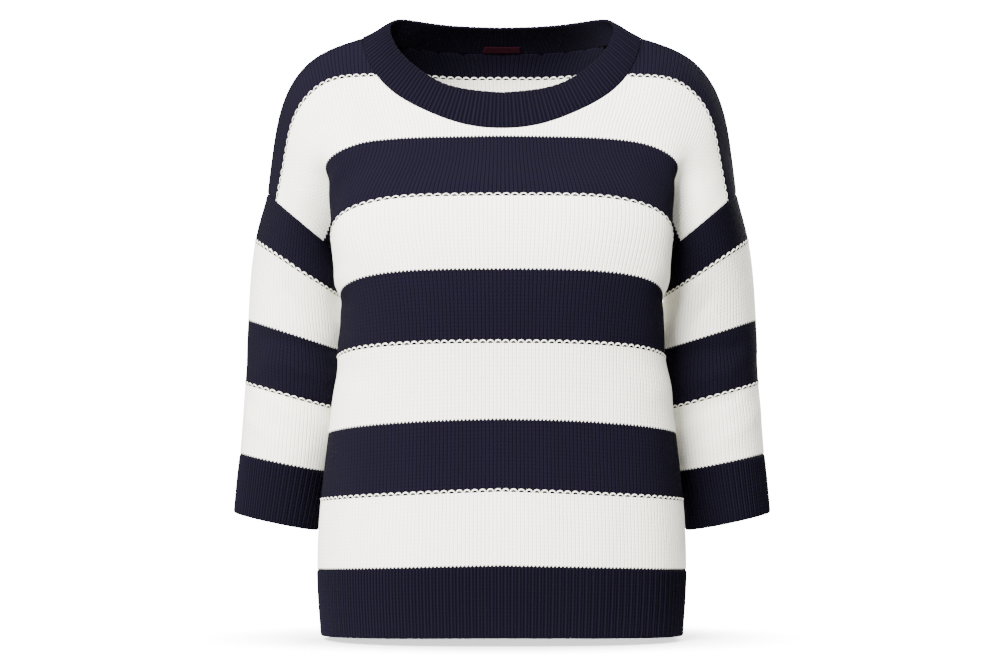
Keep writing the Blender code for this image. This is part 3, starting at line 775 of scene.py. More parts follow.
def stitch_group() -> bpy.types.NodeTree:
    """Plain knitting: two slanting legs to each wale, beaded once a course.

    Height is the legs' ridges times their beads. Hollow is 1 in the gaps between stitches, and
    Dots only where a gap between wales meets one between courses. The cloth paints shade with both.
    """
    net, given, put = new_group("knit stitches", ("Wales", "Courses", "Slant"), ("Height", "Hollow", "Dots"))
    across = net.maths("FRACT", given.outputs["Wales"])
    ridge = net.maths("POWER", net.maths("ABSOLUTE", net.maths("SINE", net.maths(
        "MULTIPLY", across, 2 * np.pi))), 0.6)
    wale = net.maths("POWER", net.maths("SINE", net.maths("MULTIPLY", across, np.pi)), 0.75)
    arms = net.maths("ABSOLUTE", net.maths("MULTIPLY_ADD", across, 2.0, -1.0))
    phase = net.maths("SUBTRACT", given.outputs["Courses"], net.maths(
        "MULTIPLY", arms, given.outputs["Slant"]))
    bead = net.maths("POWER", net.maths("ABSOLUTE", net.maths("SINE", net.maths(
        "MULTIPLY", phase, np.pi))), 0.6)
    body = net.maths("MULTIPLY_ADD", ridge, 0.38, net.maths("MULTIPLY", wale, 0.62))
    height = net.maths("MULTIPLY", body, net.maths("MULTIPLY_ADD", bead, 0.5, 0.5))
    hollow = net.maths("SUBTRACT", 1.0, net.smooth_step(height, 0.12, 0.62))
    net.feed(put.inputs["Height"], height)
    net.feed(put.inputs["Hollow"], hollow)
    gap = net.maths("SUBTRACT", 1.0, net.smooth_step(bead, 0.25, 0.8))
    net.feed(put.inputs["Dots"], net.maths("MULTIPLY", hollow, gap))
    return net.tree


def fibre_group() -> bpy.types.NodeTree:
    """Cotton yarn: fine fuzz a fraction of a millimetre wide, and slow patches of tone."""
    net, given, put = new_group("cotton fibre", ("Place",), ("Fuzz", "Tone"))
    place = given.outputs["Place"]
    net.feed(put.inputs["Fuzz"], net.noise(place, 1500.0, 2.0))
    patches = net.maths("MULTIPLY_ADD", net.noise(place, 210.0, 2.0), 0.55, net.maths(
        "MULTIPLY", net.noise(place, 24.0, 2.0), 0.45))
    net.feed(put.inputs["Tone"], patches)
    return net.tree


def border_group() -> bpy.types.NodeTree:
    """Ivory (1) or navy (0) at a place of the striped cloth.

    The nearest border is the rounded count of stripes. An even border is a zigzag with one navy
    tooth to a wale. An odd one has ivory arches, two wales wide, that stand up into the navy.
    """
    net, given, put = new_group("stripe borders", ("Wales", "Courses"), ("Ivory",))
    wales, courses = given.outputs["Wales"], given.outputs["Courses"]
    border = net.maths("ROUND", net.maths("DIVIDE", courses, COURSES_PER_STRIPE))
    above = net.maths("SUBTRACT", courses, net.maths("MULTIPLY", border, COURSES_PER_STRIPE))
    odd = net.maths("MULTIPLY", net.maths("ABSOLUTE", net.maths("FRACT", net.maths(
        "MULTIPLY", border, 0.5))), 2.0)
    tooth = net.maths("MULTIPLY", net.maths("PINGPONG", wales, 0.5), 1.1)
    zigzag = net.smooth_step(net.maths("SUBTRACT", above, tooth), -0.06, 0.06)
    arch_x = net.maths("MULTIPLY_ADD", net.maths("FRACT", net.maths("MULTIPLY", wales, 0.5)), 2.0, -1.0)
    round_x = net.maths("POWER", net.maths("DIVIDE", arch_x, 0.98), 2.0)
    round_y = net.maths("POWER", net.maths("DIVIDE", above, 0.95), 2.0)
    ring = net.maths("SQRT", net.maths("ADD", round_x, round_y))
    band = net.maths("MULTIPLY", net.smooth_step(ring, 0.62, 0.72), net.maths(
        "SUBTRACT", 1.0, net.smooth_step(ring, 0.94, 1.04)))
    under = net.maths("SUBTRACT", 1.0, net.smooth_step(above, -0.06, 0.06))
    arches = net.maths("MAXIMUM", under, band)
    ivory = net.add("ShaderNodeMix", data_type="FLOAT")
    for socket, source in zip(ivory.inputs, (odd, None, zigzag, arches)):
        if source is not None:
            net.feed(socket, source)
    net.feed(put.inputs["Ivory"], ivory.outputs[0])
    return net.tree


@dataclass(frozen=True)
class Yarns:
    """Colours of the yarns in linear light, lit, and the darker colours painted as shade in the hollows of the
    stitches.
    """

    navy: tuple[float, float, float] = (0.0046, 0.0038, 0.0083)
    # Painted shade: navy darkened in the stitches' hollows and the ribs' valleys
    navy_hollow_shade: tuple[float, float, float] = (0.0010, 0.0008, 0.0018)
    ivory: tuple[float, float, float] = (0.890, 0.870, 0.765)
    # Painted shade: ivory darkened in the stitches' hollows and holes
    ivory_hollow_shade: tuple[float, float, float] = (0.480, 0.465, 0.400)
    label: tuple[float, float, float] = (0.016, 0.0030, 0.0060)


YARNS = Yarns()


def rgba(colour: tuple[float, float, float]) -> tuple[float, float, float, float]:
    """A colour with full opacity."""
    return (*colour, 1.0)


@dataclass(frozen=True)
class Cloth:
    """A knitted finish. Stripes follow the stitch count, the relief follows the stitches, and shade is painted
    into the colour in their gaps.
    """

    name: str
    striped: bool
    wales_per_unit: float = 1.0
    relief: float = 0.0011
    roughness: float = 0.92
    sheen: float = 0.005
    slant: float = 0.75

    def make(self, groups: dict[str, bpy.types.NodeTree]) -> bpy.types.Material:
        """Builds the material from the shared groups.

        Args:
            groups: the node groups by name.

        Returns:
            The material.
        """
        material = bpy.data.materials.new(self.name)
        material.use_nodes = True
        net = Net(material.node_tree)
        shader = material.node_tree.nodes["Principled BSDF"]
        place = net.add("ShaderNodeUVMap", uv_map="knit").outputs["UV"]
        parts = net.add("ShaderNodeSeparateXYZ")
        net.feed(parts.inputs[0], place)
        wales = net.maths("MULTIPLY", parts.outputs[0], self.wales_per_unit)
        courses = parts.outputs[1]
        space = net.add("ShaderNodeTexCoord").outputs["Object"]
        fibre = net.add("ShaderNodeGroup", node_tree=groups["fibre"])
        net.feed(fibre.inputs["Place"], space)
        stitch = net.add("ShaderNodeGroup", node_tree=groups["stitch"])
        wander = net.maths("MULTIPLY_ADD", fibre.outputs["Tone"], 0.35, wales)
        net.feed(stitch.inputs["Wales"], wander)
        net.feed(stitch.inputs["Courses"], net.maths("MULTIPLY_ADD", fibre.outputs["Tone"], 0.5, courses))
        net.feed(stitch.inputs["Slant"], self.slant)
        # Painted shade in the gaps between stitches, patchy with the fibre's tone; navy turns to its
        # painted-shade colour there
        hollow_shade = net.maths("MULTIPLY", stitch.outputs["Hollow"], net.maths(
            "MULTIPLY_ADD", fibre.outputs["Tone"], 0.9, 0.35), clamp=True)
        navy = net.blend(hollow_shade, rgba(YARNS.navy), rgba(YARNS.navy_hollow_shade))
        colour, calm = navy, 1.0
        if not self.striped:
            # Painted shade in the valleys between the ribs' wales, on top of the stitches' painted shade
            valley = net.maths("COSINE", net.maths("MULTIPLY_ADD", parts.outputs[0], 4 * np.pi, -np.pi))
            shade = net.maths("MULTIPLY", net.smooth_step(valley, 0.0, 0.9), 0.85)
            colour = net.blend(net.maths("MAXIMUM", hollow_shade, shade), rgba(YARNS.navy), rgba(YARNS.navy_hollow_shade))
        if self.striped:
            # Painted shade in the holes where gaps between wales and courses meet, patchy with the fuzz, with
            # a little of the stitches' painted shade
            hole_shade = net.maths("MULTIPLY", stitch.outputs["Dots"], net.maths(
                "MULTIPLY_ADD", fibre.outputs["Fuzz"], 3.0, -0.9), clamp=True)
            ivory_shade = net.maths("MULTIPLY_ADD", hollow_shade, 0.2, hole_shade, clamp=True)
            ivory = net.blend(ivory_shade, rgba(YARNS.ivory), rgba(YARNS.ivory_hollow_shade))
            border = net.add("ShaderNodeGroup", node_tree=groups["border"])
            net.feed(border.inputs["Wales"], wales)
            net.feed(border.inputs["Courses"], courses)
            colour = net.blend(border.outputs["Ivory"], navy, ivory)
            calm = net.maths("MULTIPLY_ADD", border.outputs["Ivory"], -0.25, 1.0)
        tone = net.add("ShaderNodeHueSaturation")
        net.feed(tone.inputs["Value"], net.maths("MULTIPLY_ADD", fibre.outputs["Tone"], 0.14, 0.93))
        net.feed(tone.inputs["Color"], colour)
        net.feed(shader.inputs["Base Color"], tone.outputs[0])
        height = net.maths("MULTIPLY_ADD", fibre.outputs["Fuzz"], 0.28, net.maths(
            "MULTIPLY", stitch.outputs["Height"], calm))
        bump = net.add("ShaderNodeBump")
        bump.inputs["Strength"].default_value = 1.0
        bump.inputs["Distance"].default_value = self.relief
        net.feed(bump.inputs["Height"], height)
        net.feed(shader.inputs["Normal"], bump.outputs[0])
        shader.inputs["Roughness"].default_value = self.roughness
        shader.inputs["Specular IOR Level"].default_value = 0.01
        shader.inputs["Sheen Weight"].default_value = self.sheen
        shader.inputs["Sheen Roughness"].default_value = 0.5
        return material


@dataclass(frozen=True)
class Yarn:
    """One loose yarn or tape: a colour with the fibre's fuzz."""

    name: str
    colour: tuple[float, float, float]
    relief: float = 0.0003
    sheen: float = 0.005

    def make(self, groups: dict[str, bpy.types.NodeTree]) -> bpy.types.Material:
        """Builds the material. Its tone wanders a little with the fibre group."""
        material = bpy.data.materials.new(self.name)
        material.use_nodes = True
        net = Net(material.node_tree)
        shader = material.node_tree.nodes["Principled BSDF"]
        fibre = net.add("ShaderNodeGroup", node_tree=groups["fibre"])
        net.feed(fibre.inputs["Place"], net.add("ShaderNodeTexCoord").outputs["Object"])
        dark = tuple(0.72 * value for value in self.colour)
        net.feed(shader.inputs["Base Color"], net.blend(fibre.outputs["Fuzz"], rgba(dark), rgba(self.colour)))
        bump = net.add("ShaderNodeBump")
        bump.inputs["Distance"].default_value = self.relief
        net.feed(bump.inputs["Height"], fibre.outputs["Fuzz"])
        net.feed(shader.inputs["Normal"], bump.outputs[0])
        shader.inputs["Roughness"].default_value = 0.9
        shader.inputs["Specular IOR Level"].default_value = 0.01
        shader.inputs["Sheen Weight"].default_value = self.sheen
        return material


class Wardrobe:
    """The finishes of the jumper, each made once from the shared groups."""

    def __init__(self) -> None:
        """Makes the groups, then the materials."""
        groups = {"stitch": stitch_group(), "fibre": fibre_group(), "border": border_group()}
        self.striped = Cloth("striped knit", striped=True).make(groups)
        self.rib = Cloth("navy rib", striped=False, wales_per_unit=2.0, relief=0.0007, slant=0.6).make(groups)
        self.loops = Yarn("ivory loops", YARNS.ivory).make(groups)
        self.label = Yarn("label tape", YARNS.label, relief=0.0002).make(groups)


def dress(obj: bpy.types.Object, material: bpy.types.Material, slot: str, *nodes: str) -> None:
    """Gives a piece its material and its body, and hides the imported parts that it stands for."""
    obj.data.materials.append(material)
    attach(obj, "root")
    if nodes:
        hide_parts(*nodes)
    LOG.info("%s: %d faces", obj.name, len(obj.data.polygons))


def sheet_area(grid: Array) -> float:
    """Area of a grid of points in square metres, two triangles to a cell."""
    first = np.cross(grid[:-1, 1:] - grid[:-1, :-1], grid[1:, :-1] - grid[:-1, :-1])
    second = np.cross(grid[:-1, 1:] - grid[1:, 1:], grid[1:, :-1] - grid[1:, 1:])
    both = np.linalg.norm(first, axis=-1) + np.linalg.norm(second, axis=-1)
    return float(both.sum() / 2) * MM * MM


def edged(start: float, end: float, spans: int, first: bool = True, last: bool = True) -> Array:
    """Places from start to end, even but for the small steps at the rolled edges.

    Args:
        start: first place in millimetres.
        end: last place.
        spans: number of spaces in all.
        first: whether small steps stand at the start.
        last: whether small steps stand at the end.

    Returns:
        The places, one more than the spans.
    """
    sign = 1.0 if end > start else -1.0
    steps = np.array(EDGE_STEPS) * sign
    head = start + steps if first else np.array([start])
    tail = (end - steps)[::-1] if last else np.array([end])
    middle = np.linspace(head[-1], tail[0], spans - len(head) - len(tail) + 3)
    return np.concatenate([head, middle[1:-1], tail])


def rib_wave(count: Array) -> Array:
    """Height of the ribs: two rounded wales to a rib, with a deeper valley after every second."""
    wale = 2 * power(0.5 + 0.5 * np.cos(4 * np.pi * count), 0.8) - 1.0
    return RIB_HEIGHT * (0.6 * wale - 0.4 * np.cos(2 * np.pi * (count - 0.25)))


@dataclass
class BodyPanel:
    """The front or back body: striped knitting from the hem seam to the shoulder."""

    face: Face
    form: PanelForm
    neck_spans: int = 40
    shoulder_spans: int = 56
    body_spans: int = 112
    chest_spans: int = 20
    yoke_spans: int = 48
    cut: tuple[float, float] = (0.70, 0.55)

    def grid(self) -> tuple[Array, Array]:
        """Signed columns and courses, with small steps at the edges that roll."""
        quarter = np.linspace(0, np.pi / 2, self.neck_spans + 1)
        inside = NECK_COLUMN * np.sin(quarter) ** (2 / self.form.squareness)
        outer = edged(NECK_COLUMN * HALF_PANEL, HALF_PANEL - HALF_GAP, self.shoulder_spans, first=False)
        column = np.concatenate([inside, outer[1:] / HALF_PANEL])
        top = np.where(column <= NECK_COLUMN, self.form.neckline(column), SHOULDER_COURSE) - HALF_GAP
        body = edged(HALF_GAP, ARMPIT_COURSE, self.body_spans, last=False)[:-1]
        chest = np.linspace(ARMPIT_COURSE, 6 * STRIPE, self.chest_spans + 1)
        level = np.concatenate([body, chest])[:, None] * np.ones_like(column)
        share = 1 - (1 - np.linspace(0, 1, self.yoke_spans + 1)[1:, None]) ** 1.5
        course = np.concatenate([level, 6 * STRIPE + (top - 6 * STRIPE) * share])
        column = np.broadcast_to(column, course.shape)
        signed = np.concatenate([-column[:, :0:-1], column], axis=1)
        course = np.concatenate([course[:, :0:-1], course], axis=1)
        if self.face is Face.BACK:
            return signed[:, ::-1], course[:, ::-1]
        return signed, course

    def build(self, wardrobe: Wardrobe) -> bpy.types.Object:
        """Builds the panel's wall and dresses it.

        Args:
            wardrobe: the finishes.

        Returns:
            The panel.
        """
        signed, course = self.grid()
        points, normals = self.form.draped(signed, course)
        column = np.abs(signed)
        top = np.where(column <= NECK_COLUMN, self.form.neckline(column), SHOULDER_COURSE)
        slope = np.abs(np.gradient(top, axis=1)) / np.maximum(
            np.linalg.norm(np.gradient(points, axis=1), axis=-1), 1e-6)
        away = np.minimum((1 - column) * HALF_PANEL, (top - course) / np.sqrt(1 + slope ** 2))
        away = np.minimum(away, course)
        outer = points - edge_drop(away)[..., None] * normals
        inner = points - wall_at(points) * normals
        stitches = np.stack([signed * body_wales(course), course / STRIPE * COURSES_PER_STRIPE], axis=-1)
        wall = Wall(f"{self.face.value}_knit", outer, inner, stitches, closed=False)
        obj = wall.build()
        dress(obj, wardrobe.striped, "striped_knit", f"{self.face.value}_panel")
        self.area = sheet_area(points)
        return obj


@dataclass
class HemRib:
    """The ribbed hem of one panel, seam to seam."""

    face: Face
    form: PanelForm
    row_spans: int = 20
    cut: tuple[float, float] = (0.54, 0.071)

    def build(self, wardrobe: Wardrobe) -> bpy.types.Object:
        """Builds the ribs on the panel's own surface carried on below the seam."""
        half = HEM_RIBS * RIB_COLUMNS // 2
        signed = np.linspace(-1, 1, 2 * half + 1) * (1 - HALF_GAP / HALF_PANEL)
        level = edged(-HEM_RIB, -HALF_GAP, self.row_spans)
        course, signed = np.meshgrid(level, signed if self.face is Face.FRONT else signed[::-1], indexing="ij")
        points, normals = self.form.draped(signed, course)
        count = signed * HEM_RIBS / 2
        away = np.minimum(-course, np.minimum(course + HEM_RIB, (1 - np.abs(signed)) * HALF_PANEL))
        flat = ease(np.minimum(-course / 3.0, (1 - np.abs(signed)) * HALF_PANEL / 2.5))
        free = np.minimum(1, (course + HEM_RIB) / 2.2)
        height = rib_wave(count) * flat * (0.55 + 0.45 * free) - edge_drop(away)
        outer = points + height[..., None] * normals
        inner = points - WALL * normals
        stitches = np.stack([count, course / STRIPE * COURSES_PER_STRIPE], axis=-1)
        wall = Wall(f"hem_{self.face.value}_ribs", outer, inner, stitches, closed=False,
                    column_step=RIB_COLUMNS)
        obj = wall.build()
        dress(obj, wardrobe.rib, "navy_rib", f"hem_rib_{self.face.value}")
        self.area = sheet_area(points)
        return obj


@dataclass
class SleeveTube:
    """A sleeve from the armhole seam to the cuff, and its ribbed cuff."""

    side: Side
    form: SleeveForm
    turn_spans: int = 176
    row_spans: int = 92
    cuff_rows: int = 20
    cut: tuple[float, float] = (0.36, 0.245)
    cuff_cut: tuple[float, float] = (0.29, 0.062)

    def _word(self) -> str:
        """The side's name in small letters."""
        return self.side.name.lower()

    def build(self, wardrobe: Wardrobe) -> bpy.types.Object:
        """Builds the striped tube. Its wales are counted from its outer line to its under seam."""
        angles = np.linspace(-np.pi, np.pi, self.turn_spans + 1)
        level = edged(SLEEVE_LENGTH - HALF_GAP, HALF_GAP, self.row_spans)
        along, angle = np.meshgrid(level, angles[::-1], indexing="ij")
        points, normals = self.form.draped(angle, along, self.side)
        if self.side is Side.RIGHT:
            angle = angle[:, ::-1]
        sign = np.array([self.side.value, 1.0, 1.0])
        shift = near_armpit(points) * np.array(ARMPIT_SLEEVE_SHIFT) * sign
        points = points + shift * ease(1 - along / 20)[..., None]
        away = np.minimum(along, SLEEVE_LENGTH - along)
        outer = points - edge_drop(away)[..., None] * normals
        inner = points - wall_at(points) * normals
        wales = angle / (2 * np.pi) * sleeve_wales(along)
        stitches = np.stack([wales, sleeve_course(along)], axis=-1)
        wall = Wall(f"sleeve_knit_{self._word()}", outer, inner, stitches, closed=True)
        obj = wall.build()
        dress(obj, wardrobe.striped, "striped_knit", f"sleeve_{self._word()}")
        self.area = sheet_area(points)
        return obj

    def build_cuff(self, wardrobe: Wardrobe) -> bpy.types.Object:
        """Builds the cuff's ribs on the sleeve's own surface carried on past the seam."""
        angles = np.linspace(-np.pi, np.pi, CUFF_RIBS * RIB_COLUMNS + 1)
        end = SLEEVE_LENGTH + CUFF_LENGTH
        level = edged(end, SLEEVE_LENGTH + HALF_GAP, self.cuff_rows)
        along, angle = np.meshgrid(level, angles[::-1], indexing="ij")
        points, normals = self.form.draped(angle, along, self.side)
        if self.side is Side.RIGHT:
            angle = angle[:, ::-1]
        count = angle / (2 * np.pi) * CUFF_RIBS
        below = along - SLEEVE_LENGTH
        flat = ease(below / 3.0) * (0.55 + 0.45 * np.minimum(1, (end - along) / 2.2))
        height = rib_wave(count) * flat - edge_drop(np.minimum(below, end - along))
        outer = points + height[..., None] * normals
        inner = points - WALL * normals
        stitches = np.stack([count, -below / STRIPE * COURSES_PER_STRIPE], axis=-1)
        wall = Wall(f"cuff_ribs_{self._word()}", outer, inner, stitches, closed=True, column_step=RIB_COLUMNS)
        obj = wall.build()
        dress(obj, wardrobe.rib, "navy_rib", f"cuff_{self._word()}")
        self.cuff_area = sheet_area(points)
        return obj


@dataclass
class Neckband:
    """The ribbed band round the neck, and the small label inside the back of it."""

    form: NeckForm
    row_spans: int = 20
    cut: tuple[float, float] = (0.66, 0.046)
    tuck: float = 3.0
    tuck_depth: float = 0.4
    label_half_width: float = 20.0
    label_from: float = 0.06
    label_to: float = 0.28
    label_gap: float = 0.5
    label_thickness: float = 0.8

    def _turned(self, half: Array) -> Array:
        """A half band joined to its mirror image, whose last column stands on the first."""
        return np.concatenate([half, mirrored(half[:, -2::-1])], axis=1)

    def build(self, wardrobe: Wardrobe) -> bpy.types.Object:
        """Builds the band: ribs across it, a soft roll at its free edge, and its seam edge tucked inside."""
        half_spans = NECK_RIBS * RIB_COLUMNS // 2
        shares = np.linspace(0, 1, half_spans + 1)
        width = 42.0
        rise = edged(HALF_GAP, width, self.row_spans) / width
        grid, normals = self.form.grid(shares, rise)
        points, normals = self._turned(grid), self._turned(normals)
        level = rise[:, None] * np.ones(2 * half_spans + 1)
        count = np.linspace(0, NECK_RIBS, 2 * half_spans + 1) * np.ones_like(level)
        flat = ease(level * width / 3.0) * (0.55 + 0.45 * np.minimum(1, (1 - level) * width / 2.2))
        away = np.minimum(level, 1 - level) * width
        height = rib_wave(count) * flat - edge_drop(away)
        outer = points + height[..., None] * normals
        inner = points - WALL * normals
        inner[0] += self.tuck * unit(points[0] - points[1]) - self.tuck_depth * normals[0]
        stitches = np.stack([count, level * width / STRIPE * COURSES_PER_STRIPE], axis=-1)
        wall = Wall("neckband_ribs", outer, inner, stitches, closed=True, column_step=RIB_COLUMNS)
        obj = wall.build()
        dress(obj, wardrobe.rib, "navy_rib", "neckband")
        self.area = sheet_area(points)
        return obj

    def build_label(self, wardrobe: Wardrobe) -> bpy.types.Object:
        """Builds the bare woven label, a thin slab that follows the inside of the band."""
        reach = self.label_half_width / self.form.length
        shares = np.linspace(1 - reach, 1, 17)
        rise = np.linspace(0, 1, 101)
        grid, normals = self.form.grid(shares, rise)
        pick = np.rint(np.linspace(self.label_from, self.label_to, 9) * 100).astype(int)
        grid, normals = grid[pick], normals[pick]
        points = np.concatenate([grid, mirrored(grid[:, -2::-1])], axis=1)[:, ::-1]
        normals = np.concatenate([normals, mirrored(normals[:, -2::-1])], axis=1)[:, ::-1]
        face = points - (WALL + self.label_gap + self.label_thickness) * normals
        back = points - (WALL + self.label_gap) * normals
        stitches = points[..., [0, 2]]
        wall = Wall("label_tape", face, back, stitches, closed=False)
        obj = wall.build()
        dress(obj, wardrobe.label, "label_tape", "neck_label")
        self.label_area = sheet_area(face)
        return obj


@dataclass
class BorderLoops:
    """The arched ivory loops that stand on a border with navy above and ivory below."""

    half_span: float = 0.78
    rise: float = 0.68
    thickness: float = 0.46
    stations: int = 8
    sides: int = 5

    def arches(self, centres: Array) -> tuple[Array, Array]:
        """Wales and courses above the border along each arch: half an ellipse over two wales."""
        turn = np.linspace(0, np.pi, self.stations)
        wales = centres[:, None] + self.half_span * np.cos(turn)
        return wales, np.broadcast_to(self.rise * np.sin(turn), wales.shape)

    def tubes(self, name: str, points: Array, normals: Array, outward: float) -> bpy.types.Object:
        """A tube round each arch, lifted in its middle and sunk at its ends.

        Args:
            name: the piece's name.
            points: arches by stations of points on the cloth.
            normals: directions out of the cloth there.
            outward: 1 on the outside of the cloth, -1 on the inside.

        Returns:
            The piece, a tube for each arch with closed ends.
        """
        arch = np.sin(np.linspace(0, np.pi, self.stations))[None, :, None]
        out = normals * outward
        centre = points + out * (0.75 * arch - 0.35)
        along = unit(np.gradient(centre, axis=1))
        side = unit(np.cross(along, out))
        up = np.cross(side, along)
        turn = np.linspace(0, 2 * np.pi, self.sides, endpoint=False)
        rings = centre[:, :, None] + self.thickness * (
            np.cos(turn)[:, None] * up[:, :, None] + np.sin(turn)[:, None] * side[:, :, None])
        count = len(points)
        number = np.arange(count * self.stations * self.sides).reshape(count, self.stations, self.sides)
        ahead = np.roll(number, -1, axis=2)
        quads = np.stack([number[:, :-1], ahead[:, :-1], ahead[:, 1:], number[:, 1:]], axis=-1)
        faces = quads.reshape(-1, 4).tolist() + number[:, 0, ::-1].tolist() + number[:, -1].tolist()
        mesh = bpy.data.meshes.new(name)
        mesh.from_pydata((rings.reshape(-1, 3) * MM).tolist(), [], faces)
        mesh.polygons.foreach_set("use_smooth", np.ones(len(faces), bool))
        mesh.update()
        obj = bpy.data.objects.new(name, mesh)
        bpy.context.scene.collection.objects.link(obj)
        return obj

    def on_panel(self, form: PanelForm, wardrobe: Wardrobe, inside: bool = False) -> bpy.types.Object:
        """The loops of one panel, or of the inside of the back where it shows through the neck.

        Args:
            form: the panel's form.
            wardrobe: the finishes.
            inside: whether they stand on the inner face.

        Returns:
            The piece.
        """
        points, normals = [], []
        for stripe in ((7,) if inside else (1, 3, 5, 7)):
            border = stripe * STRIPE
            total = float(body_wales(np.array(border)))
            centres = np.arange(1 - 2 * int(total // 2), total, 2.0)
            if inside:
                centres = centres[np.abs(centres) < 34]
            column = np.abs(centres) / total
            centres = centres[(np.abs(centres) < total - 1.2) & (form.neckline(column) > border + 3)]
            wales, rise = self.arches(centres)
            course = border + rise * STRIPE / COURSES_PER_STRIPE
            signed = wales / body_wales(course)
            near, n = self._on(form, signed, course)
            points.append(near)
            normals.append(n)
        points, normals = np.concatenate(points), np.concatenate(normals)
        outward = 1.0
        if inside:
            points, outward = points - wall_at(points) * normals, -1.0
        word = "back_inside" if inside else form.face.value
        obj = self.tubes(f"loops_{word}", points, normals, outward)
        dress(obj, wardrobe.loops, "striped_knit")
        return obj

    def _on(self, form: PanelForm, signed: Array, course: Array) -> tuple[Array, Array]:
        """Draped points and directions at scattered places, from small steps round each."""
        step = 0.004
        grid_x = np.stack([signed - step, signed, signed + step], axis=-1)[..., None, :]
        grid_y = np.stack([course - 1.0, course, course + 1.0], axis=-1)[..., :, None]
        shape = signed.shape + (3, 3)
        wide_x, wide_y = np.broadcast_to(grid_x, shape), np.broadcast_to(grid_y, shape)
        sides = np.where(wide_x < 0, -1.0, 1.0)[..., None] * np.array([1.0, 0, 0]) + np.array([0, 1.0, 1.0])
        patch = form.points(np.clip(np.abs(wide_x), 0, 1), wide_y) * sides
        across = patch[..., 1, 2, :] - patch[..., 1, 0, :]
        up = patch[..., 2, 1, :] - patch[..., 0, 1, :]
        normal = unit(np.cross(across, up)) * (1 if form.face is Face.FRONT else -1)
        column = np.abs(signed)
        top = np.where(column < NECK_COLUMN, form.neckline(column), SHOULDER_COURSE)
        inside = ease((1 - column) * HALF_PANEL / 26) * ease((top - course) / 22)
        lift = drape(BODY_FOLDS[form.face], signed * HALF_PANEL, course) * inside
        return patch[..., 1, 1, :] + lift[..., None] * normal, normal

    def on_sleeve(self, form: SleeveForm, side: Side, wardrobe: Wardrobe) -> bpy.types.Object:
        """The loops of one sleeve's two borders with navy above."""
        points, normals = [], []
        for border, stripe in ((172.0, 1), (41.0, 3)):
            total = float(sleeve_wales(np.array(border)))
            centres = np.arange(1 - 2 * int(total // 4), total / 2 - 1, 2.0)
            wales, rise = self.arches(centres)
            along = border - rise * 66.0 / COURSES_PER_STRIPE
            angle = wales / sleeve_wales(along) * 2 * np.pi
            here = form.points(angle, along)
            turn = form.points(angle + 0.02, along) - form.points(angle - 0.02, along)
            down = form.points(angle, along + 1) - form.points(angle, along - 1)
            normal = unit(np.cross(turn, down))
            radius = 52.0
            turned = (angle + np.pi) % (2 * np.pi) - np.pi
            lift = drape(SLEEVE_FOLDS[side], turned * radius, along, 2 * np.pi * radius) * ease(along / 22)
            points.append(here + lift[..., None] * normal)
            normals.append(normal)
        points, normals = np.concatenate(points), np.concatenate(normals)
        if side is Side.RIGHT:
            points, normals = mirrored(points)[:, ::-1], mirrored(normals)[:, ::-1]
        obj = self.tubes(f"loops_sleeve_{side.name.lower()}", points, normals, 1.0)
        dress(obj, wardrobe.loops, "striped_knit")
        return obj


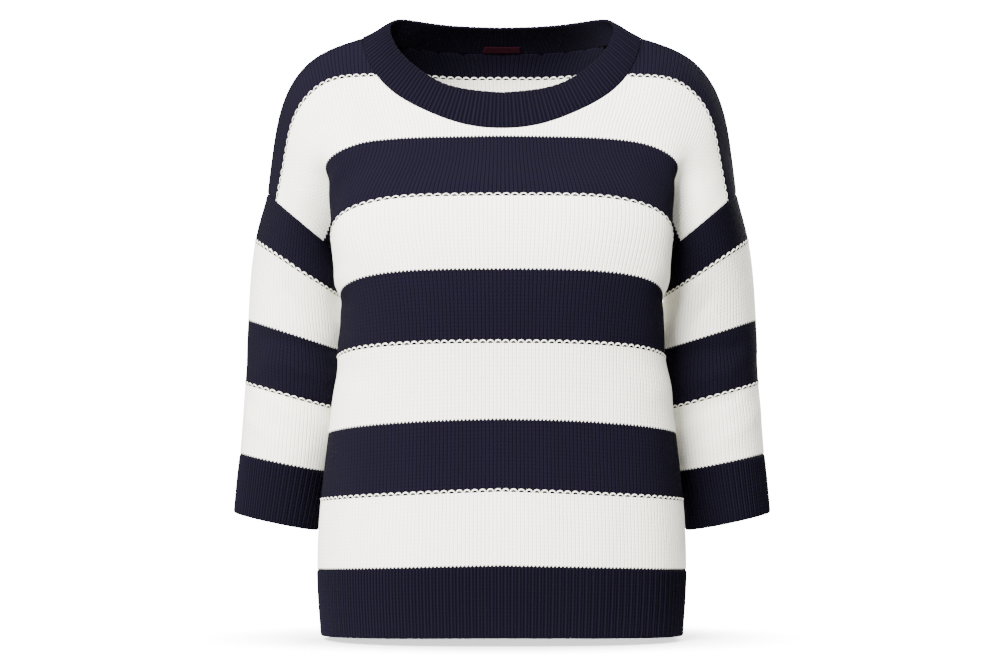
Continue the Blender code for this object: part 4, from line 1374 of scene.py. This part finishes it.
@dataclass
class Studio:
    """A pale floor, soft lights and the camera of the photograph."""

    floor_z: float = -0.6005
    camera_distance: float = 3.5
    camera_x: float = 0.002
    camera_z: float = -0.2985
    lens: float = 125.0
    ambient: float = 1.1
    backdrop: float = 18.0
    floor_radius: float = 1.0
    floor_cover: float = 0.93
    hem_reach: tuple[float, float] = (0.184, 0.114)

    def build(self) -> None:
        """Sets up the floor, the world, the lamps and the camera."""
        self._floor()
        self._world()
        self._lamp("front lamp", (-1.6, -3.2, 1.9), (0, 0, -0.3), 2.3, 1250.0)
        self._lamp("back lamp", (1.4, 3.2, 1.2), (0, 0, -0.3), 2.6, 700.0)
        camera = bpy.data.cameras.new("camera")
        camera.lens = self.lens
        camera.sensor_width = 36.0
        camera.clip_end = 50.0
        obj = bpy.data.objects.new("camera", camera)
        obj.location = (self.camera_x, -self.camera_distance, self.camera_z)
        obj.rotation_euler = (np.pi / 2, 0, 0)
        bpy.context.scene.collection.objects.link(obj)
        bpy.context.scene.camera = obj

    def _floor(self) -> None:
        """A pale disc under the hem, which fades into the backdrop outside the hem's shade."""
        turn = np.linspace(0, 2 * np.pi, 96, endpoint=False)
        ring = np.stack([self.floor_radius * np.cos(turn), self.floor_radius * np.sin(turn),
                         np.full_like(turn, self.floor_z)], axis=-1)
        mesh = bpy.data.meshes.new("floor")
        mesh.from_pydata(ring.tolist(), [], [list(range(len(turn)))])
        floor = bpy.data.objects.new("floor", mesh)
        bpy.context.scene.collection.objects.link(floor)
        material = bpy.data.materials.new("pale floor")
        material.use_nodes = True
        shader = material.node_tree.nodes["Principled BSDF"]
        shader.inputs["Base Color"].default_value = (0.9, 0.9, 0.9, 1)
        shader.inputs["Roughness"].default_value = 0.9
        shader.inputs["Specular IOR Level"].default_value = 0.0
        net = Net(material.node_tree)
        place = net.add("ShaderNodeSeparateXYZ")
        net.feed(place.inputs[0], net.add("ShaderNodeTexCoord").outputs["Object"])
        reach = net.maths("SQRT", net.maths("ADD", *(net.maths("POWER", net.maths(
            "DIVIDE", place.outputs[axis], self.hem_reach[axis]), 2.0) for axis in (0, 1))))
        net.feed(shader.inputs["Alpha"], net.maths(
            "MULTIPLY_ADD", net.smooth_step(reach, 0.95, 1.9), -self.floor_cover, self.floor_cover))
        mesh.materials.append(material)

    def _world(self) -> None:
        """White where the camera sees it, and a softer white as light."""
        world = bpy.data.worlds.new("studio")
        world.use_nodes = True
        bpy.context.scene.world = world
        net = Net(world.node_tree)
        shown = world.node_tree.nodes["Background"]
        seen = net.add("ShaderNodeLightPath").outputs["Is Camera Ray"]
        strength = net.maths("MULTIPLY_ADD", seen, self.backdrop - self.ambient, self.ambient)
        net.feed(shown.inputs["Strength"], strength)
        shown.inputs["Color"].default_value = (1, 1, 1, 1)

    def _lamp(self, name: str, place: tuple[float, float, float], target: tuple[float, float, float],
              size: float, power_w: float) -> None:
        """A square area lamp at a place, turned to a target."""
        light = bpy.data.lights.new(name, "AREA")
        light.size = size
        light.energy = power_w
        obj = bpy.data.objects.new(name, light)
        obj.location = place
        obj.rotation_euler = (Vector(target) - Vector(place)).to_track_quat("-Z", "Y").to_euler()
        bpy.context.scene.collection.objects.link(obj)


def main() -> None:
    """Builds the pieces in order, from the body out, and then the studio."""
    wardrobe = Wardrobe()
    panels = {face: PanelForm(face) for face in Face}
    sleeve_form = SleeveForm()
    loops = BorderLoops()
    for face, form in panels.items():
        panel, hem = BodyPanel(face, form), HemRib(face, form)
        obj, trim = panel.build(wardrobe), [loops.on_panel(form, wardrobe)]
        if face is Face.BACK:
            trim.append(loops.on_panel(form, wardrobe, inside=True))
        ribs = hem.build(wardrobe)
    for side in Side:
        sleeve = SleeveTube(side, sleeve_form)
        obj = sleeve.build(wardrobe)
        loops.on_sleeve(sleeve_form, side, wardrobe)
        cuff = sleeve.build_cuff(wardrobe)
        LOG.info("%s sleeve %.4f m2, cuff %.4f m2", side.name, sleeve.area, sleeve.cuff_area)
    band = Neckband(NeckForm(panels))
    obj = band.build(wardrobe)
    label = band.build_label(wardrobe)
    LOG.info("band %.4f m2, label %.5f m2", band.area, band.label_area)
    Studio().build()


if __name__ == "__main__":
    main()
